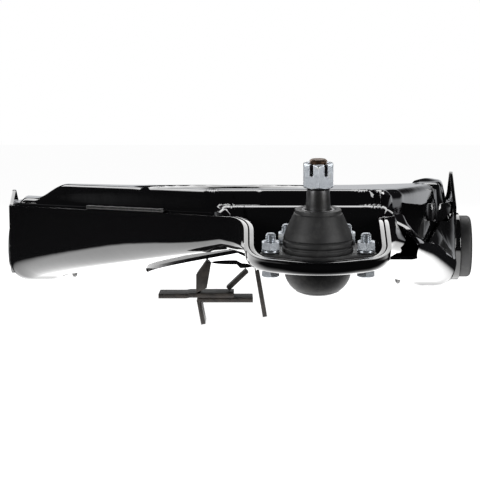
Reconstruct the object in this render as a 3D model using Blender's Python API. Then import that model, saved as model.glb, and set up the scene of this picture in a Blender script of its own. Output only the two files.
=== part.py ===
"""Front lower control arm: a stamped clamshell with two bushings, a bolted ball joint and a shock bracket.

Metres, +Z up. Inside the arm's own frame X runs along the bushing axis, -Y points outboard to the
ball joint, and the bushing axis lies at Y = 0, Z = 0. The empty "arm_frame" lifts the arm so that it
stands over the origin.
"""
import math

import bmesh
import bpy
import numpy as np
from mathutils import Matrix

# Plan of the arm
SPAN_LEFT = 0.203  # arm's middle to the left end wall
SPAN_RIGHT = 0.192  # arm's middle to the right end wall
REACH = 0.330  # bushing axis to ball joint axis
BALL_X = 0.060  # sideways place of the ball joint
LUG_LEFT = 0.053  # width of the left bushing lug
LUG_RIGHT = 0.047
LUG_BACK = 0.036  # how far a lug runs inboard of the bushing axis
LUG_FRONT = 0.046
NOTCH_DEEP = 0.085  # bushing axis to the bottom of the gap between the lugs
POCKET_HALF = 0.056  # half the width of the ball joint pocket
NOSE = 0.052  # ball joint axis to the tip of the pocket
LUG_CORNER = 0.016
LUG_BEND = 0.018  # radii of the outline's bends
LEG_BEND = 0.060
SIDE_BEND = 0.034
BACK_BEND = 0.040
RIGHT_NECK_BEND = 0.030

# Sheet and heights
SHEET = 0.003
FIT = 0.0003  # gap between touching pieces
NEST = 0.0013  # gap between the two stampings where one lies in the other
DRAFT = 0.0008  # lean of a pressed wall
SEAM_Z = 0.038  # height of the seam between the two stampings
WELD_R = 0.0018
WELD_START = 0.112  # along the front edge from the left lug's corner
WELD_LONG = 0.105
CROWN_Z = 0.055  # underside of the upper stamping's top
CROWN_LEFT_Z = 0.042  # the same at the left lug
CROWN_APEX_Z = 0.043  # the same just behind the pocket
CROWN_ROUND = 0.006  # from the ledge up to the crown
LEDGE = 0.0055
NOSE_RIM_Z = 0.0072  # lowest point of the pocket rim, at its tip
PAD_Z = 0.010  # top of the pocket floor at the ball joint axis
PAD_TILT = math.radians(8)
FLARE = 0.014  # outward slope of the right leg under its seam
DRAIN_R = 0.018
DRAIN_PLACE = (-0.005, -0.150, 0)
DISH_DEEP = 0.010  # dish in the crown round the drain hole
DISH_ASIDE = 0.085
DISH_ALONG = 0.050
DOME_TALL = 0.004  # swelling of the cover over the right bushing
DOME_X = 0.162
LEFT_LIP_TALL = 0.013  # pointed lip on the left end wall
VEE_ASIDE = 0.024  # right end wall to the lowest point of the right leg's seam
VEE_Z = 0.006
WINDOW_R = 0.0135  # six-sided opening in the right leg, behind the pocket
WINDOW_ASIDE = 0.073
WINDOW_BACK = 0.112
WINDOW_Z = 0.012

# Bushings
AXLE_R = 0.0072  # bore of the inner sleeves
SLEEVE_R = 0.0115
SHELL_WALL = 0.0016
TUBE_WALL = 0.003
LEFT_TUBE_R = 0.024
RIGHT_TUBE_R = 0.030
TUBE_PROUD = 0.0012
RIGHT_TUBE_PROUD = 0.005
LEFT_END_PROUD = 0.003  # rubber past the left end wall
RUBBER_FLANGE = 0.0105  # thickness of the thrust flange
RUBBER_FLANGE_R = 0.0275
LEFT_FLANGE_R = 0.0225
SLEEVE_PROUD = 0.0005

# Ball joint, heights from the pocket floor along its own axis
BALL_R = 0.016
BALL_H = -0.006
NECK_R = 0.007
TAPER_LOW_R = 0.01005
TAPER_TOP_R = 0.00865
TAPER_LOW_H = 0.030
NUT_H = 0.053
STUD_TOP_H = 0.075
THREAD_R = 0.0069
HOUSING_R = 0.0256
HOUSING_TOP = 0.009
HOUSING_BOTTOM = -0.029
HOUSING_WALL = 0.003
HOUSING_BEND = 0.020  # radius round its bottom
SEAT_CHAMFER = 0.006  # slope inside the bottom: across, and up
SEAT_CHAMFER_H = 0.012
SEAT_LIFT = 0.0016  # room for the preload washer
PRELOAD_THICK = 0.0012
PRELOAD_R = HOUSING_R - HOUSING_WALL - SEAT_CHAMFER - 0.0011
PRELOAD_BORE_R = 0.006
LIP_H = 0.0033
LIP_LOW_R = 0.0135
LIP_TOP_R = 0.0158
FLANGE_THICK = 0.0047
BOLT_FRONT = (POCKET_HALF - 2 * SHEET - 0.014, -0.010)
BOLT_BACK = (0.023, 0.027)
BOLT_R = 0.004
EAR_ROUND = 0.0080  # radius of the flange round each bolt
BOLT_FLAT = 0.013
BOLT_HEAD = 0.0053
BOLT_NUT = 0.0065
BOLT_TIP = 0.006
WASHER_THICK = 0.002
WASHER_R = 0.0068
CASTLE_FLAT = 0.0222
CASTLE_TALL = 0.0185
CASTLE_MOUTH_R = 0.0096  # countersink in its lower face
CASTLE_SLOT = 0.003
CASTLE_SLOT_DEEP = 0.009
BOOT_FOOT_R = 0.027
BOOT_COLLAR_R = 0.0177
BOOT_TOP_H = 0.037
BOOT_WALL = 0.0022
COLLAR_RING = 0.0025  # ring that the boot's top grips the stud with
COLLAR_TALL = 0.004

# Shock bracket
BRACKET_SHEET = 0.0035
BRACKET_BACK = 0.130  # ball joint axis to the bracket's inboard edge
BRACKET_DEEP = 0.050
TAB_LEFT = -0.064
TAB_RIGHT = -0.004
TAB_Z = -0.024  # top of the tab
TAB_STEP = 0.0006  # how much lower its free end lies
EAR_LEFT_X = -0.034
EAR_RIGHT_X = 0.015
EAR_BOTTOM_Z = -0.049
EAR_RIGHT_SHORT = 0.006  # how much shorter the right ear is
EAR_LEAN = 0.004
EAR_HOLE_R = 0.0055
EAR_HOLE_UP = 0.011
LEG_TOP_X = -0.026
LEG_FOOT_X = -0.034

ROUND = 28  # sides of a round piece


def smooth(t):
    t = np.clip(t, 0.0, 1.0)
    return t * t * (3 - 2 * t)


def material(name, colour, roughness, metallic):
    made = bpy.data.materials.get(name) or bpy.data.materials.new(name)
    made.use_nodes = True
    shader = made.node_tree.nodes["Principled BSDF"]
    shader.inputs["Base Color"].default_value = (*colour, 1.0)
    shader.inputs["Roughness"].default_value = roughness
    shader.inputs["Metallic"].default_value = metallic
    made.diffuse_color = (*colour, 1.0)
    return made


def black_paint():
    return material("black_paint", (0.012, 0.012, 0.013), 0.12, 0.0)


def bracket_paint():
    return material("bracket_paint", (0.05, 0.042, 0.036), 0.5, 0.0)


def zinc():
    return material("zinc_plate", (0.72, 0.75, 0.78), 0.3, 1.0)


def dark_steel():
    return material("dark_steel", (0.14, 0.14, 0.145), 0.35, 0.9)


def rubber():
    return material("rubber", (0.03, 0.03, 0.032), 0.6, 0.0)


def bearing_plastic():
    return material("bearing_plastic", (0.75, 0.73, 0.66), 0.45, 0.0)


def empty(name, parent, location=(0, 0, 0), tilt=0.0):
    made = bpy.data.objects.new(name, None)
    bpy.context.scene.collection.objects.link(made)
    made.parent = parent
    made.location = location
    made.rotation_euler.x = tilt
    return made


def place(name, mesh, look, parent, location=(0, 0, 0)):
    mesh.materials.clear()
    mesh.materials.append(look)
    made = bpy.data.objects.new(name, mesh)
    bpy.context.scene.collection.objects.link(made)
    made.parent = parent
    made.location = location
    mesh.shade_smooth()
    mesh.set_sharp_from_angle(angle=math.radians(35))
    return made


def cutter(name, mesh, parent, location=(0, 0, 0)):
    made = place(name, mesh, black_paint(), parent, location)
    made.hide_render = True
    made.display_type = "WIRE"
    return made


def cut(target, tool):
    step = target.modifiers.new(tool.name, "BOOLEAN")
    step.operation = "DIFFERENCE"
    step.object = tool


def finish_mesh(name, shape):
    bmesh.ops.recalc_face_normals(shape, faces=shape.faces)
    if shape.calc_volume(signed=True) < 0:
        bmesh.ops.reverse_faces(shape, faces=shape.faces)
    mesh = bpy.data.meshes.new(name)
    shape.to_mesh(mesh)
    shape.free()
    return mesh


def turned(name, profile, sides=ROUND, axis="Z"):
    """A closed ring or disc: the (radius, height) outline spun about Z, or about X."""
    shape = bmesh.new()
    rings = []
    for radius, height in profile:
        if radius == 0:
            rings.append([shape.verts.new((0, 0, height))])
            continue
        ring = []
        for k in range(sides):
            turn = 2 * math.pi * k / sides
            ring.append(shape.verts.new((radius * math.cos(turn), radius * math.sin(turn), height)))
        rings.append(ring)
    pairs = list(zip(rings, rings[1:]))
    if profile[0][0] > 0:
        pairs.append((rings[-1], rings[0]))
    for low, high in pairs:
        for k in range(sides):
            after = k + 1
            lower = (low[k % len(low)], low[after % len(low)])
            upper = (high[after % len(high)], high[k % len(high)])
            shape.faces.new(dict.fromkeys(lower + upper))
    if axis == "X":
        bmesh.ops.rotate(shape, verts=shape.verts, matrix=Matrix.Rotation(math.pi / 2, 3, "Y"))
    return finish_mesh(name, shape)


def prism(name, outline, low, high, axis="Z"):
    """The closed outline, given in the plane across the axis, pushed out between two heights."""
    shape = bmesh.new()
    ends = [[shape.verts.new((x, y, z)) for x, y in outline] for z in (low, high)]
    shape.faces.new(ends[0])
    shape.faces.new(ends[1])
    for k in range(len(outline)):
        after = (k + 1) % len(outline)
        shape.faces.new((ends[0][k], ends[0][after], ends[1][after], ends[1][k]))
    if axis == "Y":
        swap = Matrix(((1, 0, 0), (0, 0, -1), (0, 1, 0)))
        bmesh.ops.transform(shape, verts=shape.verts, matrix=swap.to_4x4())
    return finish_mesh(name, shape)


def polygon(radius, sides, phase=0.0):
    turns = [phase + 2 * math.pi * k / sides for k in range(sides)]
    return [(radius * math.cos(turn), radius * math.sin(turn)) for turn in turns]


# Plan of the stampings ------------------------------------------------------------------------


BEHIND_BALL = (0.052, 0.074, 0.084, 0.098, 0.122, 0.160, 0.195)  # inner rows, from the ball joint axis back
EDGE_STEP = 0.008  # longest side of the outline's bends


def rounded_path(corners, step=EDGE_STEP):
    """Points along a polyline of (x, y, radius) whose corners are arcs, with the given spacing."""
    path = [np.array(corners[0][:2])]
    for before, (x, y, radius), after in zip(corners, corners[1:], corners[2:]):
        corner = np.array((x, y))
        inward = (np.array(before[:2]) - corner) / math.dist(before[:2], (x, y))
        outward = (np.array(after[:2]) - corner) / math.dist(after[:2], (x, y))
        half = math.acos(float(np.clip(inward @ outward, -1, 1))) / 2
        cut_back = radius / math.tan(half)
        first = corner + inward * cut_back
        last = corner + outward * cut_back
        middle = corner + (inward + outward) / np.linalg.norm(inward + outward) * radius / math.sin(half)
        swept = math.pi - 2 * half
        count = max(2, math.ceil(swept * radius / step), math.ceil(swept / 0.5))
        sideways = (first - middle) / radius
        across = (last - middle) / radius
        for k in range(count + 1):
            part = k / count * swept
            spot = sideways * math.sin(swept - part) + across * math.sin(part)
            path.append(middle + radius * spot / math.sin(swept))
    path.append(np.array(corners[-1][:2]))
    return np.array(path)


def lengths_along(path):
    return np.concatenate([[0.0], np.cumsum(np.linalg.norm(np.diff(path, axis=0), axis=1))])


def at_length(path, lengths):
    """Points and inward normals (left of the way of travel) at the given lengths."""
    along = lengths_along(path)
    spots = np.stack([np.interp(lengths, along, path[:, k]) for k in (0, 1)], axis=1)
    near = 0.002
    ahead = np.stack([np.interp(lengths + near, along, path[:, k]) for k in (0, 1)], axis=1)
    behind = np.stack([np.interp(lengths - near, along, path[:, k]) for k in (0, 1)], axis=1)
    way = (ahead - behind) / np.linalg.norm(ahead - behind, axis=1, keepdims=True)
    return spots, np.stack([-way[:, 1], way[:, 0]], axis=1)


def nearest_length(path, spot):
    """Length along the path of its point closest to the spot."""
    fine = np.linspace(0, lengths_along(path)[-1], 2000)
    spots, _ = at_length(path, fine)
    return fine[np.argmin(np.linalg.norm(spots - np.array(spot), axis=1))]


def front_corners():
    """The outer edge from the left lug's back, round the pocket, to the right lug's back."""
    left = BALL_X - POCKET_HALF
    right = BALL_X + POCKET_HALF
    return [
        (-SPAN_LEFT, LUG_BACK, 0),
        (-SPAN_LEFT, -LUG_FRONT, LUG_BEND),
        (left - 0.030, 0.078 - REACH, LEG_BEND),
        (left, 0.040 - REACH, LEG_BEND),
        (left, -REACH - 0.022, SIDE_BEND),
        (BALL_X, -REACH - NOSE, LEG_BEND),
        (right, -REACH - 0.022, SIDE_BEND),
        (right, 0.050 - REACH, RIGHT_NECK_BEND),
        (right + 0.030, 0.106 - REACH, BACK_BEND),
        (SPAN_RIGHT, -LUG_FRONT - 0.010, LUG_BEND),
        (SPAN_RIGHT, LUG_BACK, 0),
    ]


def back_corners():
    """The edge on the chassis side: down one lug, across the gap between the lugs, up the other."""
    left = LUG_LEFT - SPAN_LEFT
    right = SPAN_RIGHT - LUG_RIGHT
    return [
        (left, LUG_BACK, 0),
        (left, -0.040, LUG_BEND),
        (left + 0.055, -NOTCH_DEEP, BACK_BEND),
        (right - 0.055, -NOTCH_DEEP, BACK_BEND),
        (right, -0.040, LUG_BEND),
        (right, LUG_BACK, 0),
    ]


def plan_grid(column_lengths, inset_rows, inner_rows):
    """Plan points, rows by columns. Each column is a curve that leaves the front edge and meets the back
    edge square on. inset_rows(x, y) gives the distances of the first rows from either edge, and the
    inner rows share what is between, drawn to set distances behind the pocket where they cross it."""
    front = rounded_path(front_corners())
    back = rounded_path(back_corners())
    left = BALL_X - POCKET_HALF
    right = BALL_X + POCKET_HALF
    pairs = [
        ((-SPAN_LEFT, 0.0), (LUG_LEFT - SPAN_LEFT, 0.0)),
        ((-SPAN_LEFT, -LUG_FRONT), (LUG_LEFT - SPAN_LEFT, -0.040)),
        ((left - 0.030, 0.078 - REACH), (left - 0.070, -NOTCH_DEEP)),
        ((left, -REACH), (left - 0.030, -NOTCH_DEEP)),
        ((right, -REACH), (right - 0.070, -NOTCH_DEEP)),
        ((right + 0.030, 0.106 - REACH), (right - 0.035, -NOTCH_DEEP)),
        ((SPAN_RIGHT, -LUG_FRONT), (SPAN_RIGHT - LUG_RIGHT, -0.040)),
        ((SPAN_RIGHT, 0.0), (SPAN_RIGHT - LUG_RIGHT, 0.0)),
    ]
    front_end = lengths_along(front)[-1]
    back_end = lengths_along(back)[-1]
    known = [0.0] + [nearest_length(front, a) for a, _ in pairs] + [front_end]
    matched = [0.0] + [nearest_length(back, b) for _, b in pairs] + [back_end]
    starts, start_normals = at_length(front, column_lengths(front_end))
    ends, end_normals = at_length(back, np.interp(column_lengths(front_end), known, matched))
    columns = []
    inner = np.linspace(0, 1, inner_rows + 2)[1:-1]
    for start, leave, end, arrive in zip(starts, start_normals, ends, end_normals):
        columns.append(cross_curve(start, leave, end, arrive, inset_rows(*start), inner))
    return starts, np.array(columns).transpose(1, 0, 2)


def cross_curve(start, leave, end, arrive, insets, inner):
    """The points of one column, from its front edge to its back edge."""
    pull = 0.6 * np.linalg.norm(end - start)
    t = np.linspace(0, 1, 80)[:, None]
    # The back edge runs the other way round the outline, so its left is outward.
    curve = (
        (2 * t**3 - 3 * t**2 + 1) * start
        + (t**3 - 2 * t**2 + t) * pull * leave
        + (3 * t**2 - 2 * t**3) * end
        + (t**3 - t**2) * pull * arrive
    )
    along = lengths_along(curve)
    first = insets[0]
    last = along[-1] - insets[1]
    even = first[-1] + (last[-1] - first[-1]) * inner
    behind = np.array(BEHIND_BALL) - REACH
    least = first[-1] + 0.004 * np.arange(1, len(inner) + 1)
    drawn = np.maximum(np.interp(behind, curve[:, 1], along), least)
    share = smooth((-REACH + 0.078 - start[1]) / 0.030)
    middle = (1 - share) * even + share * drawn
    wanted = np.concatenate([first, middle, last[::-1]])
    return np.stack([np.interp(wanted, along, curve[:, k]) for k in (0, 1)], axis=1)


def round_lug_corners(from_back, from_side):
    """How far aside and down a point of a lug's square back corner moves to turn the corner into an arc.
    Both distances are measured from the walls."""
    p = np.clip(1 - from_side / LUG_CORNER, 0, 1)
    q = np.clip(1 - from_back / LUG_CORNER, 0, 1)
    aside = LUG_CORNER * p * (1 - np.sqrt(1 - q * q / 2))
    down = LUG_CORNER * q * (1 - np.sqrt(1 - p * p / 2))
    return aside, down


# Heights of the stampings -----------------------------------------------------------------------


def pad_height(y):
    """Top of the pocket floor, which slopes with the ball joint."""
    return PAD_Z + (y + REACH) * math.tan(PAD_TILT)


def floor_height(x, y):
    """Underside of the lower stamping."""
    lug = np.where(x < 0, -LEFT_TUBE_R, -RIGHT_TUBE_R) - FIT - SHEET
    pocket = pad_height(y) - 2 * SHEET - NEST
    at_lug = -LUG_FRONT
    at_pocket = 0.066 - REACH
    slope = (y - at_lug) / (at_pocket - at_lug)
    leg = lug + 0.002 + (pad_height(at_pocket) - 2 * SHEET - NEST - lug) * np.clip(slope, 0, 1) ** 0.85
    leg = np.where(y > at_lug, lug, leg)
    return np.where(y < at_pocket, pocket, leg)


def rim_height(x, y, on_front):
    """Top edge of the lower stamping, lowest in a vee at the front of the right lug."""
    height = NOSE_RIM_Z + (SEAM_Z - NOSE_RIM_Z) * smooth((y + REACH + 0.045) / 0.1)
    left_lip = LEFT_LIP_TALL * np.clip(1 - abs(y + 0.005) / 0.030, 0, 1) * (x < 0.004 - SPAN_LEFT)
    tip = SPAN_RIGHT - VEE_ASIDE
    over = np.where(x < tip, (tip - x) / 0.026, (x - tip) / 0.040)
    vee = VEE_Z + (SEAM_Z - VEE_Z) * np.clip(over, 0, 1)
    on_right = on_front & (x > tip - 0.026) & (y < -0.030)
    height = np.where(on_right, np.minimum(height, vee), height)
    end_lip = np.interp(y, (-0.056, -0.030, 0.0, LUG_BACK), (0.025, 0.045, 0.067, SEAM_Z))
    return np.where(on_front & (x > SPAN_RIGHT - 0.004), end_lip, height) + left_lip * on_front


def corner_radius(y):
    return 0.009 + 0.008 * smooth((y + REACH - 0.08) / 0.1)


def flare_at(x, y):
    """How far the lower stamping's top edge sits in from its bottom edge along the right leg."""
    beyond_pocket = smooth((y + REACH - 0.060) / 0.026)
    before_lug = smooth((-0.040 - y) / 0.030)
    return FLARE * beyond_pocket * before_lug * (x > BALL_X)


def vee_share(x, y):
    """1 where the upper stamping comes down outside its seam to the vee, on the right leg's front."""
    return smooth((y + REACH - 0.060) / 0.026) * smooth((-0.026 - y) / 0.012) * (x > BALL_X)


def pocket_share(y):
    """1 in the pocket and 0 behind it."""
    return 1 - smooth((y + REACH - 0.054) / 0.020)


def top_height(x, y):
    """Underside of the upper stamping, away from its edge."""
    left = CROWN_LEFT_Z + (CROWN_Z - CROWN_LEFT_Z) * smooth((x + SPAN_LEFT - 0.025) / 0.030)
    apex = CROWN_APEX_Z + (CROWN_Z - CROWN_APEX_Z) * smooth((y + REACH - 0.085) / 0.014)
    crown = np.minimum(left, apex)
    drain_x, drain_y, _ = DRAIN_PLACE
    from_drain = np.hypot((x - drain_x) / DISH_ASIDE, (y - drain_y) / DISH_ALONG)
    dish = DISH_DEEP * smooth((1 - from_drain) / 0.3)
    dome = DOME_TALL * np.exp(-(((x - DOME_X) / 0.020) ** 2) - (y / 0.030) ** 2)
    pad = pad_height(y) - SHEET
    return pocket_share(y) * pad + (1 - pocket_share(y)) * (crown - dish + dome)


def lug_ends(front_end, near, step):
    """Distances along the front edge: close together at the lugs' backs, even between."""
    count = round((front_end - 2 * near[-1]) / step)
    middle = np.linspace(near[-1], front_end - near[-1], count + 1)
    return np.concatenate([near[:-1], middle, front_end - np.array(near[:-1])[::-1]])


LUG_ROWS = (0.0, DRAFT, LEDGE, 0.0135)  # columns next to the lugs' backs, from the edge in
INNER_ROWS = len(BEHIND_BALL)
COLUMN_STEP = 0.0155


def stamped_sheet(name, points, look, parent):
    """A sheet with the grid of points as its underside."""
    rows, columns = points.shape[:2]
    number = np.arange(rows * columns).reshape(rows, columns)
    quads = np.stack([number[:-1, :-1], number[:-1, 1:], number[1:, 1:], number[1:, :-1]], axis=-1)
    mesh = bpy.data.meshes.new(name)
    mesh.from_pydata(points.reshape(-1, 3).tolist(), [], quads.reshape(-1, 4).tolist())
    sheet = place(name, mesh, look, parent)
    solid = sheet.modifiers.new("thickness", "SOLIDIFY")
    solid.thickness = SHEET
    solid.offset = 1
    solid.use_rim = True
    return sheet


def lower_rings(x, y):
    radius = corner_radius(y)
    flare = float(flare_at(x, y))
    near = np.array([flare, DRAFT, DRAFT + 0.3 * radius, DRAFT + radius])
    return near, np.array([0.0, DRAFT, DRAFT + 0.3 * radius, DRAFT + radius])


def lower_stamping(parent):
    """The tray: floor, rounded bottom edge, and a wall up to the seam all round."""
    starts, plan = plan_grid(lambda end: lug_ends(end, LUG_ROWS, COLUMN_STEP), lower_rings, INNER_ROWS)
    return shaped_sheet("lower_stamping", starts, plan, lower_profile, 0.0, parent)


def lower_profile(x, y, depth, edge_x, edge_y, on_front):
    floor = floor_height(x, y)
    radius = corner_radius(y)
    rim = rim_height(edge_x, edge_y, on_front)
    bend = [rim, floor + radius, floor + 0.286 * radius]
    return np.select([depth == 0, depth == 1, depth == 2], bend, floor)


def upper_rings(x, y):
    shift = SHEET + NEST
    radius = corner_radius(y) - shift
    share = float(pocket_share(y))
    floor_bend = np.array([0.0, DRAFT, DRAFT + 0.3 * radius, DRAFT + radius])
    crown_bend = np.array([0.0, DRAFT, LEDGE, LEDGE + CROWN_ROUND])
    behind_lower = float(flare_at(x, y)) + SHEET * float(vee_share(x, y))
    near = share * floor_bend + (1 - share) * crown_bend
    return near + shift + behind_lower, crown_bend + shift


def upper_profile(x, y, depth, edge_x, edge_y, on_front):
    share = pocket_share(edge_y)
    radius = corner_radius(y) - SHEET - NEST
    pad = pad_height(y) - SHEET
    rim = rim_height(edge_x, edge_y, on_front)
    right_leg = (edge_x > BALL_X + POCKET_HALF + 0.012) & (edge_x < SPAN_RIGHT - 0.002)
    front_right = on_front & right_leg & (edge_y < -0.036)
    top = top_height(x, y)
    wall_foot = np.where(front_right, rim - 0.004, np.minimum(rim, SEAM_Z))
    wall_head = np.where(front_right, CROWN_Z - 0.003, SEAM_Z)
    ledge = np.where(front_right, CROWN_Z - 0.0005, SEAM_Z)
    edge = share * rim + (1 - share) * wall_foot
    second = share * (pad + radius) + (1 - share) * wall_head
    third = share * (pad + 0.286 * radius) + (1 - share) * ledge
    return np.select([depth == 0, depth == 1, depth == 2], [edge, second, third], top)


def upper_stamping(parent):
    """The cover: a raised crown with a dish on the legs, pressed down into the pocket outboard."""
    starts, plan = plan_grid(lambda end: lug_ends(end, LUG_ROWS, COLUMN_STEP), upper_rings, INNER_ROWS)
    shift = SHEET + NEST
    return shaped_sheet("upper_stamping", starts, plan, upper_profile, shift, parent)


def shaped_sheet(name, starts, plan, profile, shift, parent):
    """Gives the plan its heights and its lug corners. shift draws the lug ends in by that much."""
    rows, columns = plan.shape[:2]
    row = np.arange(rows)[:, None] * np.ones((1, columns), int)
    column = np.arange(columns)[None, :] * np.ones((rows, 1), int)
    row_depth = np.minimum(row, rows - 1 - row)
    column_depth = np.minimum(column, columns - 1 - column)
    depth = np.minimum(row_depth, column_depth)
    along = LUG_BACK - plan[..., 1]
    outer = np.where(plan[..., 0] < 0, plan[..., 0] + SPAN_LEFT, SPAN_RIGHT - plan[..., 0])
    lug = np.where(plan[..., 0] < 0, LUG_LEFT, LUG_RIGHT)
    from_outer = outer - shift
    from_inner = lug - outer - shift
    aside_out, down_out = round_lug_corners(along, np.abs(from_outer))
    aside_in, down_in = round_lug_corners(along, np.abs(from_inner))
    on_lug = plan[..., 1] > LUG_BACK - LUG_CORNER
    inward = np.where(plan[..., 0] < 0, 1.0, -1.0)
    nearer_out = from_outer < from_inner
    x = plan[..., 0] + np.where(on_lug, inward * np.where(nearer_out, aside_out, -aside_in), 0)
    y = plan[..., 1] - np.where(on_lug, np.where(nearer_out, down_out, down_in), 0)
    end_shift = shift * np.clip(1 - along / LUG_CORNER, 0, 1)
    y = y - end_shift
    by_row = row_depth <= column_depth
    on_front = (row < rows / 2) & by_row
    edge_x = np.where(by_row, np.where(on_front, starts[:, 0], plan[-1, :, 0]), x)
    edge_y = np.where(by_row, np.where(on_front, starts[:, 1], plan[-1, :, 1]), y)
    z = profile(x, y, depth, edge_x, edge_y, on_front)
    points = np.stack([x, y, z], axis=-1)
    return stamped_sheet(name, points, black_paint(), parent)


# Bushings ----------------------------------------------------------------------------------------


def tube_place(side):
    """Middle and half length of a lug's housing tube."""
    if side == "left":
        outer, inner = -SPAN_LEFT - TUBE_PROUD, LUG_LEFT - SPAN_LEFT + TUBE_PROUD
    else:
        outer, inner = SPAN_RIGHT + RIGHT_TUBE_PROUD, SPAN_RIGHT - LUG_RIGHT - TUBE_PROUD
    return (outer + inner) / 2, abs(outer - inner) / 2


def tube_cutter(name, side, radius, parent):
    """Clears the lug's two walls for its tube."""
    middle, half = tube_place(side)
    reach = half + 0.006
    wide = radius + FIT
    mesh = turned(name, [(0, -reach), (wide, -reach), (wide, reach), (0, reach)], axis="X")
    return cutter(name, mesh, parent, (middle, 0, 0))


def ring_profile(inner, outer, low, high):
    return [(inner, low), (outer, low), (outer, high), (inner, high)]


def rubber_outline(rubber_r, flange_r, plain_end, flange_foot, flange_end):
    chamfer = 0.002
    bulge = 0.0035
    return [
        (SLEEVE_R + FIT, plain_end),
        (rubber_r - chamfer, plain_end),
        (rubber_r, plain_end + chamfer),
        (rubber_r, flange_foot),
        (flange_r - 0.001, flange_foot),
        (flange_r, flange_foot + 0.001),
        (flange_r, flange_end - bulge),
        (flange_r - 0.3 * bulge, flange_end - 0.3 * bulge),
        (flange_r - bulge, flange_end),
        (SLEEVE_R + FIT, flange_end),
    ]


def bushing(side, parent):
    """Tube, pressed-in shell, rubber and inner sleeve. The thrust flange faces +X on both sides."""
    tube_r = LEFT_TUBE_R if side == "left" else RIGHT_TUBE_R
    flange_r = LEFT_FLANGE_R if side == "left" else RUBBER_FLANGE_R
    middle, half = tube_place(side)
    where = (middle, 0, 0)
    shell_r = tube_r - TUBE_WALL - FIT
    rubber_r = shell_r - SHELL_WALL - FIT
    plain_end = -half - LEFT_END_PROUD + TUBE_PROUD
    flange_foot = half + FIT
    flange_end = flange_foot + RUBBER_FLANGE
    sleeve = ring_profile(AXLE_R, SLEEVE_R, plain_end - SLEEVE_PROUD, flange_end + SLEEVE_PROUD)
    rings = (
        ("tube", ring_profile(shell_r + FIT, tube_r, -half, half), black_paint()),
        ("shell", ring_profile(shell_r - SHELL_WALL, shell_r, -half, half), dark_steel()),
        ("rubber", rubber_outline(rubber_r, flange_r, plain_end, flange_foot, flange_end), rubber()),
    )
    for piece, outline, look in rings:
        name = f"{side}_bushing_{piece}"
        place(name, turned(name, outline, axis="X"), look, parent, where)
    axis = empty(f"{side}_bushing_axis", parent, where)
    place(f"{side}_inner_sleeve", turned(f"{side}_inner_sleeve", sleeve, axis="X"), dark_steel(), axis)


# Welds -------------------------------------------------------------------------------------------


def bead(name, route, parent):
    """A weld bead: a round cord of metal along its route."""
    curve = bpy.data.curves.new(name, "CURVE")
    curve.dimensions = "3D"
    curve.bevel_depth = WELD_R
    curve.bevel_resolution = 1
    curve.use_fill_caps = True
    line = curve.splines.new("POLY")
    line.points.add(len(route) - 1)
    for point, spot in zip(line.points, route):
        point.co = (*spot, 1.0)
    curve.materials.append(black_paint())
    made = bpy.data.objects.new(name, curve)
    bpy.context.scene.collection.objects.link(made)
    made.parent = parent


def seam_route(corners, first, last, inset):
    """Between two lengths of an edge, on the lower stamping's rim and beside the upper one's edge."""
    spots, sideways = at_length(rounded_path(corners), np.linspace(first, last, 9))
    spots = spots + sideways * inset
    height = SEAM_Z + WELD_R + FIT
    return [(x, y, height) for x, y in spots]


def tube_weld_route(side, radius):
    """Under the tube, where it leaves its lug towards the arm's middle."""
    wall = LUG_LEFT - SPAN_LEFT if side == "left" else SPAN_RIGHT - LUG_RIGHT
    out = 1 if side == "left" else -1
    ring = radius + WELD_R + FIT
    turns = np.linspace(math.radians(-160), math.radians(-20), 14)
    x = wall + out * (WELD_R + FIT)
    return [(x, ring * math.cos(turn), ring * math.sin(turn)) for turn in turns]


def welds(parent):
    """Beads along the seam on the left leg and the chassis side, and round each tube's inner end."""
    inset = SHEET / 2
    front = rounded_path(front_corners())
    start = nearest_length(front, (-SPAN_LEFT, -LUG_FRONT)) + WELD_START
    bead("seam_weld_front", seam_route(front_corners(), start, start + WELD_LONG, inset), parent)
    middle = lengths_along(rounded_path(back_corners()))[-1] / 2
    half = WELD_LONG / 2
    bead("seam_weld_back", seam_route(back_corners(), middle - half, middle + half, -inset), parent)
    bead("left_tube_weld", tube_weld_route("left", LEFT_TUBE_R), parent)
    bead("right_tube_weld", tube_weld_route("right", RIGHT_TUBE_R), parent)


# Ball joint --------------------------------------------------------------------------------------


def ball_arc(ball, first, last, count):
    """Points of the ball's outline between two angles measured from its equator."""
    turns = np.linspace(first, last, count)
    return [(ball * math.cos(turn), BALL_H + ball * math.sin(turn)) for turn in turns]


def ball_housing(parent):
    """Cup with a rounded bottom, whose rolled top lip holds the upper bearing in."""
    inner = HOUSING_R - HOUSING_WALL
    flat = HOUSING_R - HOUSING_BEND
    outside = [(0, HOUSING_BOTTOM)]
    for turn in np.linspace(0, math.pi / 2, 6):
        rise = HOUSING_BEND * (1 - math.cos(turn))
        outside.append((flat + HOUSING_BEND * math.sin(turn), HOUSING_BOTTOM + rise))
    inside_bottom = HOUSING_BOTTOM + HOUSING_WALL
    inside = [
        (LIP_LOW_R, LIP_H),
        (inner, LIP_H),
        (inner, inside_bottom + SEAT_CHAMFER_H),
        (inner - SEAT_CHAMFER, inside_bottom),
        (0, inside_bottom),
    ]
    top = [(HOUSING_R, HOUSING_TOP), (LIP_TOP_R, HOUSING_TOP)]
    place("ball_housing", turned("ball_housing", outside + top + inside), dark_steel(), parent)


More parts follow.
